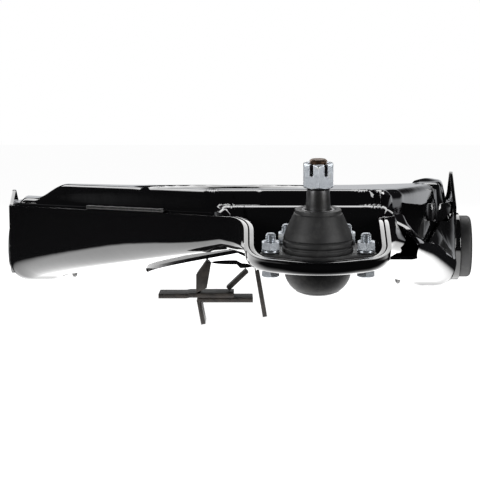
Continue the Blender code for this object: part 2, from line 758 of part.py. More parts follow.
def ball_flange(parent):
    """Four-cornered plate whose ears carry the bolts."""
    corners = []
    for mirror, (x, y) in ((-1, BOLT_FRONT), (-1, BOLT_BACK), (1, BOLT_BACK), (1, BOLT_FRONT)):
        corners.append((mirror * x, y))
    outline = []
    for x, y in corners:
        heading = math.atan2(y, x)
        for k in range(7):
            turn = heading + math.radians(75) - math.radians(150) * k / 6
            outline.append((x + EAR_ROUND * math.cos(turn), y + EAR_ROUND * math.sin(turn)))
    nose = HOUSING_R + 0.0035
    for k in range(7):
        turn = math.radians(-52 - 76 * k / 6)
        outline.append((nose * math.cos(turn), nose * math.sin(turn)))
    mesh = prism("ball_joint_flange", outline, FIT, FIT + FLANGE_THICK)
    plate = place("ball_joint_flange", mesh, dark_steel(), parent)
    cut(plate, parent_cutter("flange_bore", HOUSING_R + FIT, parent))
    return plate


def parent_cutter(name, radius, parent, spot=(0, 0)):
    """A round drill through the pocket floor, at a spot on it."""
    mesh = prism(name, polygon(radius, ROUND), -0.04, 0.03)
    return cutter(name, mesh, parent, (*spot, 0))


def bolt_spots():
    for name, (x, y) in (("front", BOLT_FRONT), ("back", BOLT_BACK)):
        yield f"{name}_left", (-x, y)
        yield f"{name}_right", (x, y)


def flat_to_corner(flat):
    return flat / math.sqrt(3)


def bolt(name, spot, parent):
    """Hex head under the floor and a chamfered shank up through the flange."""
    head_top = -2 * SHEET - NEST - FIT
    tip = FIT + FLANGE_THICK + FIT + WASHER_THICK + FIT + BOLT_NUT + BOLT_TIP
    shape = bmesh.new()
    layers = [
        (polygon(flat_to_corner(BOLT_FLAT), 6), head_top - BOLT_HEAD),
        (polygon(flat_to_corner(BOLT_FLAT), 6), head_top),
        (polygon(BOLT_R, 12), head_top),
        (polygon(BOLT_R, 12), tip - 0.001),
        (polygon(BOLT_R - 0.001, 12), tip),
    ]
    rings = [[shape.verts.new((x, y, z)) for x, y in outline] for outline, z in layers]
    shape.faces.new(rings[0])
    shape.faces.new(rings[-1])
    for low, high in zip(rings, rings[1:]):
        if len(low) == len(high):
            for k in range(len(low)):
                after = (k + 1) % len(low)
                shape.faces.new((low[k], low[after], high[after], high[k]))
            continue
        for k in range(6):
            after = (k + 1) % 6
            shape.faces.new((low[k], low[after], high[2 * after], high[2 * k + 1], high[2 * k]))
    place(f"bolt_{name}", finish_mesh(f"bolt_{name}", shape), zinc(), parent, (*spot, 0))


def holed(name, outline, bore, low, high, mouth=None):
    """A plate between two heights with a round hole, its outline given as a polygon. The hole opens out
    to the radius of its mouth, if it has one, at the plate's lower face."""
    shape = bmesh.new()
    sides = len(outline)
    turns = [math.atan2(y, x) for x, y in outline]
    levels = [(bore, high), (bore, low)]
    if mouth:
        levels = [(bore, high), (bore, low + mouth - bore), (mouth, low)]
    layers = [(outline, low), (outline, high)]
    for radius, z in levels:
        layers.append(([(radius * math.cos(turn), radius * math.sin(turn)) for turn in turns], z))
    rings = [[shape.verts.new((x, y, z)) for x, y in ring] for ring, z in layers]
    for first, second in zip(rings, rings[1:] + rings[:1]):
        for k in range(sides):
            after = (k + 1) % sides
            shape.faces.new((first[k], first[after], second[after], second[k]))
    return finish_mesh(name, shape)


def hexagon_between(flat):
    """A hexagon with a point in the middle of each side, so that its hole is round enough."""
    corners = polygon(flat_to_corner(flat), 6)
    outline = []
    for (x, y), (next_x, next_y) in zip(corners, corners[1:] + corners[:1]):
        outline += [(x, y), ((x + next_x) / 2, (y + next_y) / 2)]
    return outline


def bolt_nut(name, spot, parent):
    foot = FIT + FLANGE_THICK + FIT
    ring = holed(f"lock_washer_{name}", polygon(WASHER_R, 16), BOLT_R + FIT, foot, foot + WASHER_THICK)
    place(f"lock_washer_{name}", ring, zinc(), parent, (*spot, 0))
    low = foot + WASHER_THICK + FIT
    nut = holed(f"nut_{name}", hexagon_between(BOLT_FLAT), BOLT_R + FIT, low, low + BOLT_NUT)
    place(f"nut_{name}", nut, zinc(), parent, (*spot, 0))


def lower_seat(parent):
    """Plastic cup under the ball."""
    inner = HOUSING_R - HOUSING_WALL - FIT
    floor = HOUSING_BOTTOM + HOUSING_WALL + FIT
    below_middle = 0.12  # radians from the ball's equator to the cup's edge
    bowl = ball_arc(BALL_R + FIT, -math.pi / 2, -below_middle, 8)
    bowl[0] = (0, BALL_H - BALL_R - FIT)
    top = BALL_H - (BALL_R + FIT) * math.sin(below_middle)
    foot = floor + SEAT_LIFT
    outline = [(0, foot), (inner - SEAT_CHAMFER, foot), (inner, floor + SEAT_CHAMFER_H + FIT), (inner, top)]
    place("lower_bearing", turned("lower_bearing", outline + bowl[::-1]), bearing_plastic(), parent)


def preload_spring(parent):
    """Thin wave washer under the cup."""
    floor = HOUSING_BOTTOM + HOUSING_WALL + FIT
    ring = ring_profile(PRELOAD_BORE_R, PRELOAD_R, floor, floor + PRELOAD_THICK)
    place("preload_washer", turned("preload_washer", ring), dark_steel(), parent)


def upper_seat(parent):
    """Plastic ring over the ball: it can turn about the housing's axis with the stud."""
    inner = HOUSING_R - HOUSING_WALL - FIT
    top = LIP_H - FIT
    last = math.asin((top - BALL_H) / (BALL_R + FIT))
    outline = [(inner, BALL_H), (inner, top)] + ball_arc(BALL_R + FIT, last, 0.02, 6)
    outline[-1] = (BALL_R + FIT, BALL_H)
    place("upper_bearing", turned("upper_bearing", outline[::-1]), bearing_plastic(), parent)


def ball_stud(parent):
    """Ball, neck, taper and thread, about the ball's centre."""
    join = -math.acos(NECK_R / BALL_R)
    outline = ball_arc(BALL_R, -math.pi / 2, -join, 12)
    outline[0] = (0, BALL_H - BALL_R)
    outline += [
        (NECK_R, 0.016),
        (TAPER_LOW_R, TAPER_LOW_H),
        (TAPER_TOP_R, NUT_H - 0.0006),
        (THREAD_R, NUT_H),
        (THREAD_R, STUD_TOP_H - 0.0015),
        (THREAD_R - 0.0015, STUD_TOP_H),
        (0, STUD_TOP_H),
    ]
    outline = [(radius, height - BALL_H) for radius, height in outline]
    place("ball_stud", turned("ball_stud", outline), dark_steel(), parent)


def castle_nut(parent):
    """Slotted nut, countersunk underneath so that its face clears the taper."""
    low = NUT_H + 2 * FIT - BALL_H
    high = low + CASTLE_TALL
    outline = hexagon_between(CASTLE_FLAT)
    mesh = holed("castle_nut", outline, THREAD_R + FIT, low, high, CASTLE_MOUTH_R)
    mesh.transform(Matrix.Rotation(math.radians(30), 4, "Z"))
    nut = place("castle_nut", mesh, zinc(), parent)
    half = CASTLE_SLOT / 2
    for k in range(3):
        box = [(-CASTLE_FLAT, -half), (CASTLE_FLAT, -half), (CASTLE_FLAT, half), (-CASTLE_FLAT, half)]
        turn = math.radians(60 * k)
        mesh = prism(f"castle_slot_{k}", box, high - CASTLE_SLOT_DEEP, high + 0.002)
        mesh.transform(Matrix.Rotation(turn, 4, "Z"))
        cut(nut, cutter(f"castle_slot_{k}", mesh, parent))


def boot(parent):
    """Rubber cover between the flange and the stud."""
    foot = FIT + FLANGE_THICK + FIT
    outer = [
        (BOOT_FOOT_R, foot),
        (BOOT_FOOT_R, foot + 0.004),
        (BOOT_FOOT_R - 0.0005, foot + 0.010),
        (BOOT_FOOT_R - 0.0035, foot + 0.017),
        (BOOT_COLLAR_R + 0.002, foot + 0.024),
        (BOOT_COLLAR_R, BOOT_TOP_H - 0.002),
        (BOOT_COLLAR_R - 0.002, BOOT_TOP_H),
    ]
    inner = [(radius - BOOT_WALL, height) for radius, height in outer[1:5]]
    low_inner = [
        (HOUSING_R + FIT, foot),
        (HOUSING_R + FIT, HOUSING_TOP + FIT),
        (inner[0][0], HOUSING_TOP + 2 * FIT + 0.001),
    ]
    neck = TAPER_LOW_R + COLLAR_RING + 2 * FIT
    high_inner = [
        (inner[-1][0] - 0.002, BOOT_TOP_H - COLLAR_TALL - 0.001),
        (neck, BOOT_TOP_H - COLLAR_TALL),
        (neck, BOOT_TOP_H),
    ]
    outline = outer + high_inner[::-1] + inner[1:][::-1] + low_inner[::-1]
    place("dust_boot", turned("dust_boot", outline), rubber(), parent)


def boot_collar(parent):
    bore = TAPER_LOW_R + FIT
    top = BOOT_TOP_H - BALL_H
    ring = ring_profile(bore, bore + COLLAR_RING, top - COLLAR_TALL, top)
    place("boot_collar", turned("boot_collar", ring), dark_steel(), parent)


# Bracket -----------------------------------------------------------------------------------------


def strip_outline(path, thickness):
    """A bent strip seen edge on: the polyline and its copy a sheet's thickness to its left."""
    path = np.array(path)
    ways = np.diff(path, axis=0)
    ways /= np.linalg.norm(ways, axis=1, keepdims=True)
    lefts = np.stack([-ways[:, 1], ways[:, 0]], axis=1)
    copies = [path[0] + lefts[0] * thickness]
    for spot, before, after in zip(path[1:-1], lefts, lefts[1:]):
        copies.append(spot + (before + after) * thickness / (1 + before @ after))
    copies.append(path[-1] + lefts[-1] * thickness)
    return [tuple(p) for p in path] + [tuple(p) for p in copies[::-1]]


def bracket_strip(name, path, outboard, inboard, parent):
    """A strip of bracket steel whose edge outline, in X and Z, runs between two places along Y."""
    mesh = prism(name, strip_outline(path, BRACKET_SHEET), -inboard, -outboard, axis="Y")
    return place(name, mesh, bracket_paint(), parent)


def under_arm(x, *places):
    """Clear of the arm's underside at every one of the places along Y."""
    return min(float(floor_height(np.array(x), np.array(y))) for y in places) - FIT


def shock_bracket(parent):
    """Tab on a leg, a clevis's web and left ear under it, its right ear up to the arm, and a gusset."""
    inboard = BRACKET_BACK - REACH
    outboard = inboard - BRACKET_DEEP
    tab_under = TAB_Z - BRACKET_SHEET
    step = EAR_LEFT_X - 0.005
    tab = [
        (TAB_LEFT, tab_under - TAB_STEP),
        (step - 0.003, tab_under - TAB_STEP),
        (step, tab_under),
        (TAB_RIGHT, tab_under),
    ]
    bracket_strip("shock_tab", tab, outboard, inboard, parent)
    leg = [
        (LEG_FOOT_X, TAB_Z + FIT),
        (LEG_FOOT_X, TAB_Z + 0.014),
        (LEG_TOP_X, under_arm(LEG_TOP_X, outboard, inboard - 0.010) - BRACKET_SHEET * 0.6),
    ]
    bracket_strip("bracket_leg", leg[::-1], outboard + 0.004, inboard - 0.010, parent)
    web = tab_under - FIT
    ear_top = under_arm(EAR_RIGHT_X, outboard, inboard) - FIT
    clevis_path = [
        (EAR_RIGHT_X - BRACKET_SHEET - FIT, web),
        (EAR_LEFT_X, web),
        (EAR_LEFT_X + EAR_LEAN, EAR_BOTTOM_Z),
    ]
    clevis = bracket_strip("shock_clevis", clevis_path, outboard, inboard, parent)
    ear_path = [
        (EAR_RIGHT_X - BRACKET_SHEET, ear_top),
        (EAR_RIGHT_X + EAR_LEAN, EAR_BOTTOM_Z + EAR_RIGHT_SHORT),
    ]
    ear = bracket_strip("shock_ear", ear_path, outboard, inboard, parent)
    hole = prism("shock_bolt_hole", polygon(EAR_HOLE_R, 16), -0.1, 0.1)
    hole.transform(Matrix.Rotation(math.pi / 2, 4, "Y"))
    middle = inboard - BRACKET_DEEP / 2
    bore = cutter("shock_bolt_hole", hole, parent, (0, middle, EAR_BOTTOM_Z + EAR_HOLE_UP))
    cut(clevis, bore)
    cut(ear, bore)
    bracket_strip("bracket_gusset", gusset_path(ear_top), outboard + 0.012, inboard - 0.014, parent)


def gusset_path(ear_top):
    """From the tab's top near its right edge up to the right ear, short of touching either."""
    foot = (TAB_RIGHT - 0.006, TAB_Z + FIT + BRACKET_SHEET)
    head = (EAR_RIGHT_X - BRACKET_SHEET - 0.0062, ear_top - 0.006)
    return [head, foot]


# Assembly ----------------------------------------------------------------------------------------


def ball_joint(parent):
    """Everything on the tilted pocket floor, and what swings in it."""
    flange = ball_flange(parent)
    for name, spot in bolt_spots():
        hole = parent_cutter(f"bolt_hole_{name}", BOLT_R + FIT, parent, spot)
        cut(flange, hole)
        bolt(name, spot, parent)
        bolt_nut(name, spot, parent)
    ball_housing(parent)
    lower_seat(parent)
    preload_spring(parent)
    upper_seat(parent)
    centre = empty("ball_centre", parent, (0, 0, BALL_H))
    ball_stud(centre)
    castle_nut(centre)
    boot_collar(centre)
    boot(parent)


def drill_stampings(lower, upper, arm, pad):
    """The tubes' bores, the ball joint's bore and bolt holes, and the openings of each stamping."""
    for side, radius in (("left", LEFT_TUBE_R), ("right", RIGHT_TUBE_R)):
        bore = tube_cutter(f"{side}_tube_bore", side, radius, arm)
        cut(lower, bore)
        cut(upper, bore)
    housing = parent_cutter("housing_bore", HOUSING_R + FIT, pad)
    cut(lower, housing)
    cut(upper, housing)
    for name, spot in bolt_spots():
        hole = parent_cutter(f"floor_hole_{name}", BOLT_R + FIT, pad, spot)
        cut(lower, hole)
        cut(upper, hole)
    drain = cutter("drain_hole", prism("drain_hole", polygon(DRAIN_R, ROUND), -0.1, 0.1), arm, DRAIN_PLACE)
    cut(lower, drain)
    cut(upper, drain)
    window = prism("leg_window", polygon(WINDOW_R, 6), -0.030, 0.030)
    window.transform(Matrix.Rotation(math.radians(68), 4, "X"))
    cut(lower, cutter("leg_window", window, arm, (BALL_X + WINDOW_ASIDE, WINDOW_BACK - REACH, WINDOW_Z)))


def frame_place():
    """Puts the middle of the arm's footprint over the origin, standing on the clevis's ears."""
    right = SPAN_RIGHT + RIGHT_TUBE_PROUD + FIT + RUBBER_FLANGE + SLEEVE_PROUD
    left = SPAN_LEFT + LEFT_END_PROUD + SLEEVE_PROUD
    tip = rounded_path(front_corners())[:, 1].min()
    return ((left - right) / 2, -(LUG_BACK + tip) / 2, -EAR_BOTTOM_Z)


def main():
    for old in list(bpy.data.objects):
        bpy.data.objects.remove(old)
    arm = empty("arm_frame", None, frame_place())
    pad = empty("ball_joint_frame", arm, (BALL_X, -REACH, PAD_Z), PAD_TILT)
    lower = lower_stamping(arm)
    upper = upper_stamping(arm)
    drill_stampings(lower, upper, arm, pad)
    for side in ("left", "right"):
        bushing(side, arm)
    ball_joint(pad)
    shock_bracket(arm)
    welds(arm)


main()
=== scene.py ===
import math

import bmesh
import bpy
import numpy as np
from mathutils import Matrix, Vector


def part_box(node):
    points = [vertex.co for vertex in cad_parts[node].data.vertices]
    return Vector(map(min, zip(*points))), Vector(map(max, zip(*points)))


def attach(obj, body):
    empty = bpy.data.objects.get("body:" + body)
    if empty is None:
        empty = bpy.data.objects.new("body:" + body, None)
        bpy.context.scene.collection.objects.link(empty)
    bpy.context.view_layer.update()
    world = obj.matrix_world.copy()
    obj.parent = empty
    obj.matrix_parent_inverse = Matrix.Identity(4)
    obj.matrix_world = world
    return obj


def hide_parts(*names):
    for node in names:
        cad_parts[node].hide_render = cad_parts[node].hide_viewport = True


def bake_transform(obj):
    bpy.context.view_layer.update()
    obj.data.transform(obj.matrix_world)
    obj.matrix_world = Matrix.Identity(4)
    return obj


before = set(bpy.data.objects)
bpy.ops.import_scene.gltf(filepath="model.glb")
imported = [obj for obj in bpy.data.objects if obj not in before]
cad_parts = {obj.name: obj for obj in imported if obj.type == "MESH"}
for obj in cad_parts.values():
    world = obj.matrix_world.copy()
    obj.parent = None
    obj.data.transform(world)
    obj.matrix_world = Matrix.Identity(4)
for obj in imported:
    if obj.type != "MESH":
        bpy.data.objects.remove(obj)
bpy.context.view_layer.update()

# Studio. The arm stands on a plain pale floor, with a broad softbox high behind it and a tall strip light
# in front of it on either side. Its gloss mirrors a lit table, a low pale wall behind it and a dim room.
sleeve_low, sleeve_high = (np.array(corner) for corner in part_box("left_inner_sleeve"))
AXIS_Y, AXIS_Z = ((sleeve_low + sleeve_high) / 2)[1:]
ARM = np.array([-0.0009, AXIS_Y, AXIS_Z])  # the middle of the bushing axis, which the arm's sizes start from

VIEW_HEIGHT = 0.0054  # the camera's aim over the bushing axis
VIEW_FAR = 2.114
VIEW_TILT = math.radians(3.0)
LENS_MM = 176.1
LIT_WIDE = 0.30  # half sizes of the part of the table that is lit from below
LIT_DEEP = 0.22
LIT_MIDDLE = 0.04
TABLE_LIGHT = 2.2
FLOOR_REACH = 12.0


def linked(name, data):
    """A new object in the scene."""
    thing = bpy.data.objects.new(name, data)
    bpy.context.scene.collection.objects.link(thing)
    return thing


def studio_camera():
    """A long lens level with the arm, on its outboard side, looking inboard and a little down."""
    lens = bpy.data.cameras.new("camera")
    lens.lens = LENS_MM
    lens.sensor_width = 36.0
    lens.clip_end = 50.0
    camera = linked("camera", lens)
    camera.location = (
        ARM[0] + 0.0009,
        ARM[1] - VIEW_FAR * math.cos(VIEW_TILT),
        ARM[2] + VIEW_HEIGHT + VIEW_FAR * math.sin(VIEW_TILT),
    )
    camera.rotation_euler = (math.radians(90) - VIEW_TILT, 0, 0)
    bpy.context.scene.camera = camera


def softbox(name, place, aim, width, height, power):
    """A rectangular white area light at a place, turned to face another."""
    light = bpy.data.lights.new(name, "AREA")
    light.shape = "RECTANGLE"
    light.size = width
    light.size_y = height
    light.energy = power
    lamp = linked(name, light)
    away = np.array(place, float) - np.array(aim, float)
    flat = math.hypot(away[0], away[1])
    lamp.location = place
    lamp.rotation_euler = (math.atan2(flat, away[2]), 0, math.atan2(away[0], -away[1]))


class Socket:
    """A node's output that +, * and a number less it work on, each adding the Math node for it."""

    def __init__(self, nodes, socket):
        self.nodes = nodes
        self.socket = socket

    def math(self, operation, other):
        return add_node(self.nodes, "ShaderNodeMath", {"operation": operation}, {0: self, 1: other})

    def __add__(self, other):
        return self.math("ADD", other)

    def __mul__(self, other):
        return self.math("MULTIPLY", other)

    def __rsub__(self, other):
        return (self * -1) + other

    __radd__ = __add__
    __rmul__ = __mul__

    def ramp(self, low, high):
        """0 below low, 1 above high, and smooth between."""
        settings = {"interpolation_type": "SMOOTHSTEP"}
        values = {"Value": self, "From Min": low, "From Max": high}
        return add_node(self.nodes, "ShaderNodeMapRange", settings, values)


def add_node(nodes, kind, settings=None, values=None, output=0):
    """A node with its settings made first, then its sockets' values or links, and one of its outputs."""
    made = nodes.new(kind)
    for key, value in (settings or {}).items():
        setattr(made, key, value)
    for key, value in (values or {}).items():
        if isinstance(value, Socket):
            nodes.id_data.links.new(value.socket, made.inputs[key])
        else:
            made.inputs[key].default_value = value
    return Socket(nodes, made.outputs[output])


def blend_colour(nodes, share, first, second):
    """Colour between two others, by a share from 0 to 1."""
    ends = [value if isinstance(value, Socket) else (*value, 1.0) for value in (first, second)]
    return add_node(nodes, "ShaderNodeMix", {"data_type": "RGBA"}, {0: share, 6: ends[0], 7: ends[1]}, 2)


def new_finish(name):
    """A node material, its nodes and its Object coordinates."""
    look = bpy.data.materials.new(name)
    look.use_nodes = True
    nodes = look.node_tree.nodes
    return look, nodes, add_node(nodes, "ShaderNodeTexCoord", output=3)


def wire(look, **values):
    """Links or sets inputs of the material's Principled shader, with _ for a space in their names."""
    tree = look.node_tree
    for key, value in values.items():
        into = tree.nodes["Principled BSDF"].inputs[key.replace("_", " ")]
        if isinstance(value, Socket):
            tree.links.new(value.socket, into)
        else:
            into.default_value = value
    return look


def studio_floor():
    """A pale sheet, a few metres across, that the arm stands on. The camera sees it evenly bright, and
    the arm mirrors a lit oval under itself with a dim floor round it."""
    mesh = bpy.data.meshes.new("floor")
    corners = [(FLOOR_REACH * x, FLOOR_REACH * y, 0) for x, y in ((-1, -1), (1, -1), (1, 1), (-1, 1))]
    mesh.from_pydata(corners, [], [(0, 1, 2, 3)])
    look, nodes, place = new_finish("floor_paper")
    sizes = {"Vector": place, "Location": (0.0, LIT_MIDDLE, 0.0), "Scale": (LIT_WIDE, LIT_DEEP, 1.0)}
    around = add_node(nodes, "ShaderNodeMapping", {"vector_type": "TEXTURE"}, sizes)
    away = add_node(nodes, "ShaderNodeVectorMath", {"operation": "LENGTH"}, {0: around}, output=1)
    seen = add_node(nodes, "ShaderNodeLightPath")
    pale = 1 - away.ramp(0.80, 1.15)
    grain = add_node(nodes, "ShaderNodeTexNoise", values={"Vector": place, "Scale": 260.0, "Detail": 3.0})
    paper = blend_colour(nodes, grain, (0.30, 0.30, 0.30), (0.33, 0.33, 0.33))
    mirrored = blend_colour(nodes, pale, (0.010, 0.010, 0.011), paper)
    lit = blend_colour(nodes, pale, (0.0, 0.0, 0.0), (TABLE_LIGHT, TABLE_LIGHT, TABLE_LIGHT))
    wire(
        look,
        Base_Color=blend_colour(nodes, seen, mirrored, paper),
        Emission_Color=blend_colour(nodes, seen, lit, (0.97, 0.97, 0.97)),
        Emission_Strength=1.0,
        Roughness=0.9,
        Specular_IOR_Level=0.0,
    )
    mesh.materials.append(look)
    linked("floor", mesh)


def studio_room():
    """White where the camera looks straight at it. What the arm mirrors is a pale wall behind it and a
    dim room on the camera's side."""
    room = bpy.data.worlds.new("room")
    bpy.context.scene.world = room
    room.use_nodes = True
    nodes = room.node_tree.nodes
    way = add_node(nodes, "ShaderNodeTexCoord", output=0)
    inboard = add_node(nodes, "ShaderNodeSeparateXYZ", values={0: way}, output=1)
    height = add_node(nodes, "ShaderNodeSeparateXYZ", values={0: way}, output=2)
    behind = inboard.ramp(0.10, 0.60) * (1 - height.ramp(0.08, 0.22))
    seen = add_node(nodes, "ShaderNodeLightPath")
    mirrored = blend_colour(nodes, behind, (0.012, 0.012, 0.013), (0.55, 0.56, 0.58))
    colour = blend_colour(nodes, seen, mirrored, (1.0, 1.0, 1.0))
    room.node_tree.links.new(colour.socket, nodes["Background"].inputs["Color"])


studio_camera()
studio_floor()
studio_room()
softbox("overhead", (0.0, 1.15, 1.3), (0, 0, 0), 2.6, 1.0, 24)
for side, x in (("left", -1.5), ("right", 1.5)):
    softbox(f"{side}_strip", (x, -1.15, 0.45), (0, 0, 0.1), 0.7, 1.0, 22)
bpy.context.scene.view_settings.view_transform = "Standard"

# Lower stamping. A tray pressed from 3 mm steel: a floor that rises from the bushings to the ball joint,
# rounded bottom edges, and a wall up to the seam with the cover. Gloss black paint, over the welds too.
SHEET = 0.003
NEST = 0.0013
DRAFT = 0.0008
LEDGE = 0.0055
SEAM_Z = 0.038
SPAN_LEFT = 0.203
SPAN_RIGHT = 0.192
REACH = 0.330
BALL_X = 0.060
LUG_LEFT = 0.053
LUG_RIGHT = 0.047
LUG_BACK = 0.036
LUG_FRONT = 0.046
LUG_CORNER = 0.016
NOTCH_DEEP = 0.085
POCKET_HALF = 0.056
POCKET_LEFT = BALL_X - POCKET_HALF
POCKET_RIGHT = BALL_X + POCKET_HALF
NOSE = 0.052
NOSE_RIM_Z = 0.0072
PAD_Z = 0.010
PAD_TILT = math.radians(8)
LEFT_TUBE_R = 0.024
RIGHT_TUBE_R = 0.030
FLARE = 0.014
VEE_X = SPAN_RIGHT - 0.024  # sideways place of the cover's lowest point on the right leg


def smooth(t):
    """3 t^2 - 2 t^3 between 0 and 1."""
    t = np.clip(t, 0.0, 1.0)
    return t * t * (3 - 2 * t)


def full_turn(sides):
    """Even angles once round, as a column."""
    return np.linspace(0, 2 * math.pi, sides, endpoint=False)[:, None]


def rounded_path(corners, step=0.002):
    """A polyline whose corner of radius r becomes an arc of that radius, tangent to both its sides."""
    path = [np.array(corners[0][:2])]
    for before, (x, y, radius), after in zip(corners, corners[1:], corners[2:]):
        corner = np.array((x, y))
        inward = (np.array(before[:2]) - corner) / math.dist(before[:2], (x, y))
        outward = (np.array(after[:2]) - corner) / math.dist(after[:2], (x, y))
        half = math.acos(float(np.clip(inward @ outward, -1, 1))) / 2
        first = corner + inward * radius / math.tan(half)
        last = corner + outward * radius / math.tan(half)
        middle = corner + (inward + outward) / np.linalg.norm(inward + outward) * radius / math.sin(half)
        swept = math.pi - 2 * half
        part = np.linspace(0, swept, max(3, math.ceil(swept * radius / step)))[:, None]
        arc = ((first - middle) * np.sin(swept - part) + (last - middle) * np.sin(part)) / math.sin(swept)
        path.extend(middle + arc)
    path.append(np.array(corners[-1][:2]))
    return np.array(path)


def lengths_along(path):
    return np.concatenate([[0.0], np.cumsum(np.linalg.norm(np.diff(path, axis=0), axis=1))])


def at_length(path, lengths, near=0.003):
    """Points at those lengths of the path, and the unit normals to its left, taken over a short stretch."""
    along = lengths_along(path)

    def spot(where):
        return np.stack([np.interp(where, along, path[:, k]) for k in (0, 1)], axis=1)

    way = spot(lengths + near) - spot(lengths - near)
    way /= np.linalg.norm(way, axis=1, keepdims=True)
    return spot(lengths), np.stack([-way[:, 1], way[:, 0]], axis=1)


def nearest_length(path, place):
    return lengths_along(path)[np.argmin(np.linalg.norm(path - np.array(place), axis=1))]


front_edge = rounded_path(
    [
        (-SPAN_LEFT, LUG_BACK, 0),
        (-SPAN_LEFT, -LUG_FRONT, 0.018),
        (POCKET_LEFT - 0.030, 0.078 - REACH, 0.060),
        (POCKET_LEFT, 0.040 - REACH, 0.060),
        (POCKET_LEFT, -REACH - 0.022, 0.034),
        (BALL_X, -REACH - NOSE, 0.060),
        (POCKET_RIGHT, -REACH - 0.022, 0.034),
        (POCKET_RIGHT, 0.050 - REACH, 0.030),
        (POCKET_RIGHT + 0.030, 0.106 - REACH, 0.040),
        (SPAN_RIGHT, -LUG_FRONT - 0.010, 0.018),
        (SPAN_RIGHT, LUG_BACK, 0),
    ]
)
back_edge = rounded_path(
    [
        (LUG_LEFT - SPAN_LEFT, LUG_BACK, 0),
        (LUG_LEFT - SPAN_LEFT, -0.040, 0.018),
        (LUG_LEFT - SPAN_LEFT + 0.055, -NOTCH_DEEP, 0.040),
        (SPAN_RIGHT - LUG_RIGHT - 0.055, -NOTCH_DEEP, 0.040),
        (SPAN_RIGHT - LUG_RIGHT, -0.040, 0.018),
        (SPAN_RIGHT - LUG_RIGHT, LUG_BACK, 0),
    ]
)
# shares of the inner rows, and how far inboard of the ball those rows lie
BEHIND_POCKET = (
    (0.00, 0.048),
    (0.08, 0.054),
    (0.24, 0.075),
    (0.30, 0.085),
    (0.52, 0.101),
    (0.64, 0.130),
    (1.00, 0.240),
)
ROW_GAP = 0.0006  # least distance between rows
FRONT_LONG = lengths_along(front_edge)[-1]
BACK_LONG = lengths_along(back_edge)[-1]
EDGE_PAIRS = [
    ((-SPAN_LEFT, 0.0), (LUG_LEFT - SPAN_LEFT, 0.0)),
    ((-SPAN_LEFT, -LUG_FRONT), (LUG_LEFT - SPAN_LEFT, -0.040)),
    ((POCKET_LEFT - 0.030, 0.078 - REACH), (POCKET_LEFT - 0.070, -NOTCH_DEEP)),
    ((POCKET_LEFT, -REACH), (POCKET_LEFT - 0.030, -NOTCH_DEEP)),
    ((POCKET_RIGHT, -REACH), (POCKET_RIGHT - 0.070, -NOTCH_DEEP)),
    ((POCKET_RIGHT + 0.030, 0.106 - REACH), (POCKET_RIGHT - 0.035, -NOTCH_DEEP)),
    ((SPAN_RIGHT, -LUG_FRONT), (SPAN_RIGHT - LUG_RIGHT, -0.040)),
    ((SPAN_RIGHT, 0.0), (SPAN_RIGHT - LUG_RIGHT, 0.0)),
]


def facing_lengths(lengths):
    """Lengths along the back edge of the points that face those lengths of the front edge."""
    known = [0.0] + [nearest_length(front_edge, a) for a, _ in EDGE_PAIRS] + [FRONT_LONG]
    matched = [0.0] + [nearest_length(back_edge, b) for _, b in EDGE_PAIRS] + [BACK_LONG]
    return np.interp(lengths, known, matched)


def edge_columns(near, step=0.0030):
    """Lengths along the front edge: the given ones at either lug's back, and even steps between."""
    count = round((FRONT_LONG - 2 * near[-1]) / step)
    middle = np.linspace(near[-1], FRONT_LONG - near[-1], count + 1)
    return np.concatenate([near[:-1], middle, FRONT_LONG - np.array(near[:-1])[::-1]])


def plan_grid(lengths, front_insets, back_insets, inner_count):
    """Plan points, rows by columns. A column is the cubic curve that leaves the front edge and meets the
    back edge square on. Its first and last rows lie at the given insets from the edges, and the inner rows
    share the rest, drawn to fixed distances behind the pocket in the columns that come from the pocket."""
    start, leave = at_length(front_edge, lengths)
    end, arrive = at_length(back_edge, facing_lengths(lengths))
    pull = 0.6 * np.linalg.norm(end - start, axis=1)[:, None, None]
    t = np.linspace(0, 1, 140)[None, :, None]
    curve = (
        (2 * t**3 - 3 * t**2 + 1) * start[:, None]
        + (t**3 - 2 * t**2 + t) * pull * leave[:, None]
        + (3 * t**2 - 2 * t**3) * end[:, None]
        + (t**3 - t**2) * pull * arrive[:, None]
    )
    share = np.linspace(0, 1, inner_count + 2)[1:-1]
    shares, from_ball = np.array(BEHIND_POCKET).T
    behind = np.interp(share, shares, from_ball) - REACH
    columns = []
    for k, line in enumerate(curve):
        along = lengths_along(line)
        first = front_insets[:, k]
        last = along[-1] - back_insets[:, k]
        even = first[-1] + (last[-1] - first[-1]) * share
        least = first[-1] + ROW_GAP * np.arange(1, inner_count + 1)
        drawn = np.maximum(np.interp(behind, line[:, 1], along), least)
        drawn = np.minimum(drawn, last[-1] - ROW_GAP * np.arange(inner_count, 0, -1))
        pocket = smooth((-REACH + 0.078 - start[k, 1]) / 0.030)
        wanted = np.concatenate([first, (1 - pocket) * even + pocket * drawn, last[::-1]])
        columns.append(np.stack([np.interp(wanted, along, line[:, axis]) for axis in (0, 1)], axis=1))
    return start, np.array(columns).transpose(1, 0, 2)


def lug_corner_shift(along, aside):
    """Draws the square plan of a lug's back corner to an arc. p and q run from 1 on the two walls to 0 at
    the corner radius, and the shift is radius times p (1 - sqrt(1 - q^2 / 2)), and the other way round."""
    p = np.clip(1 - np.abs(aside) / LUG_CORNER, 0, 1)
    q = np.clip(1 - along / LUG_CORNER, 0, 1)
    return LUG_CORNER * p * (1 - np.sqrt(1 - q * q / 2)), LUG_CORNER * q * (1 - np.sqrt(1 - p * p / 2))


def pad_height(y):
    return PAD_Z + (y + REACH) * math.tan(PAD_TILT)


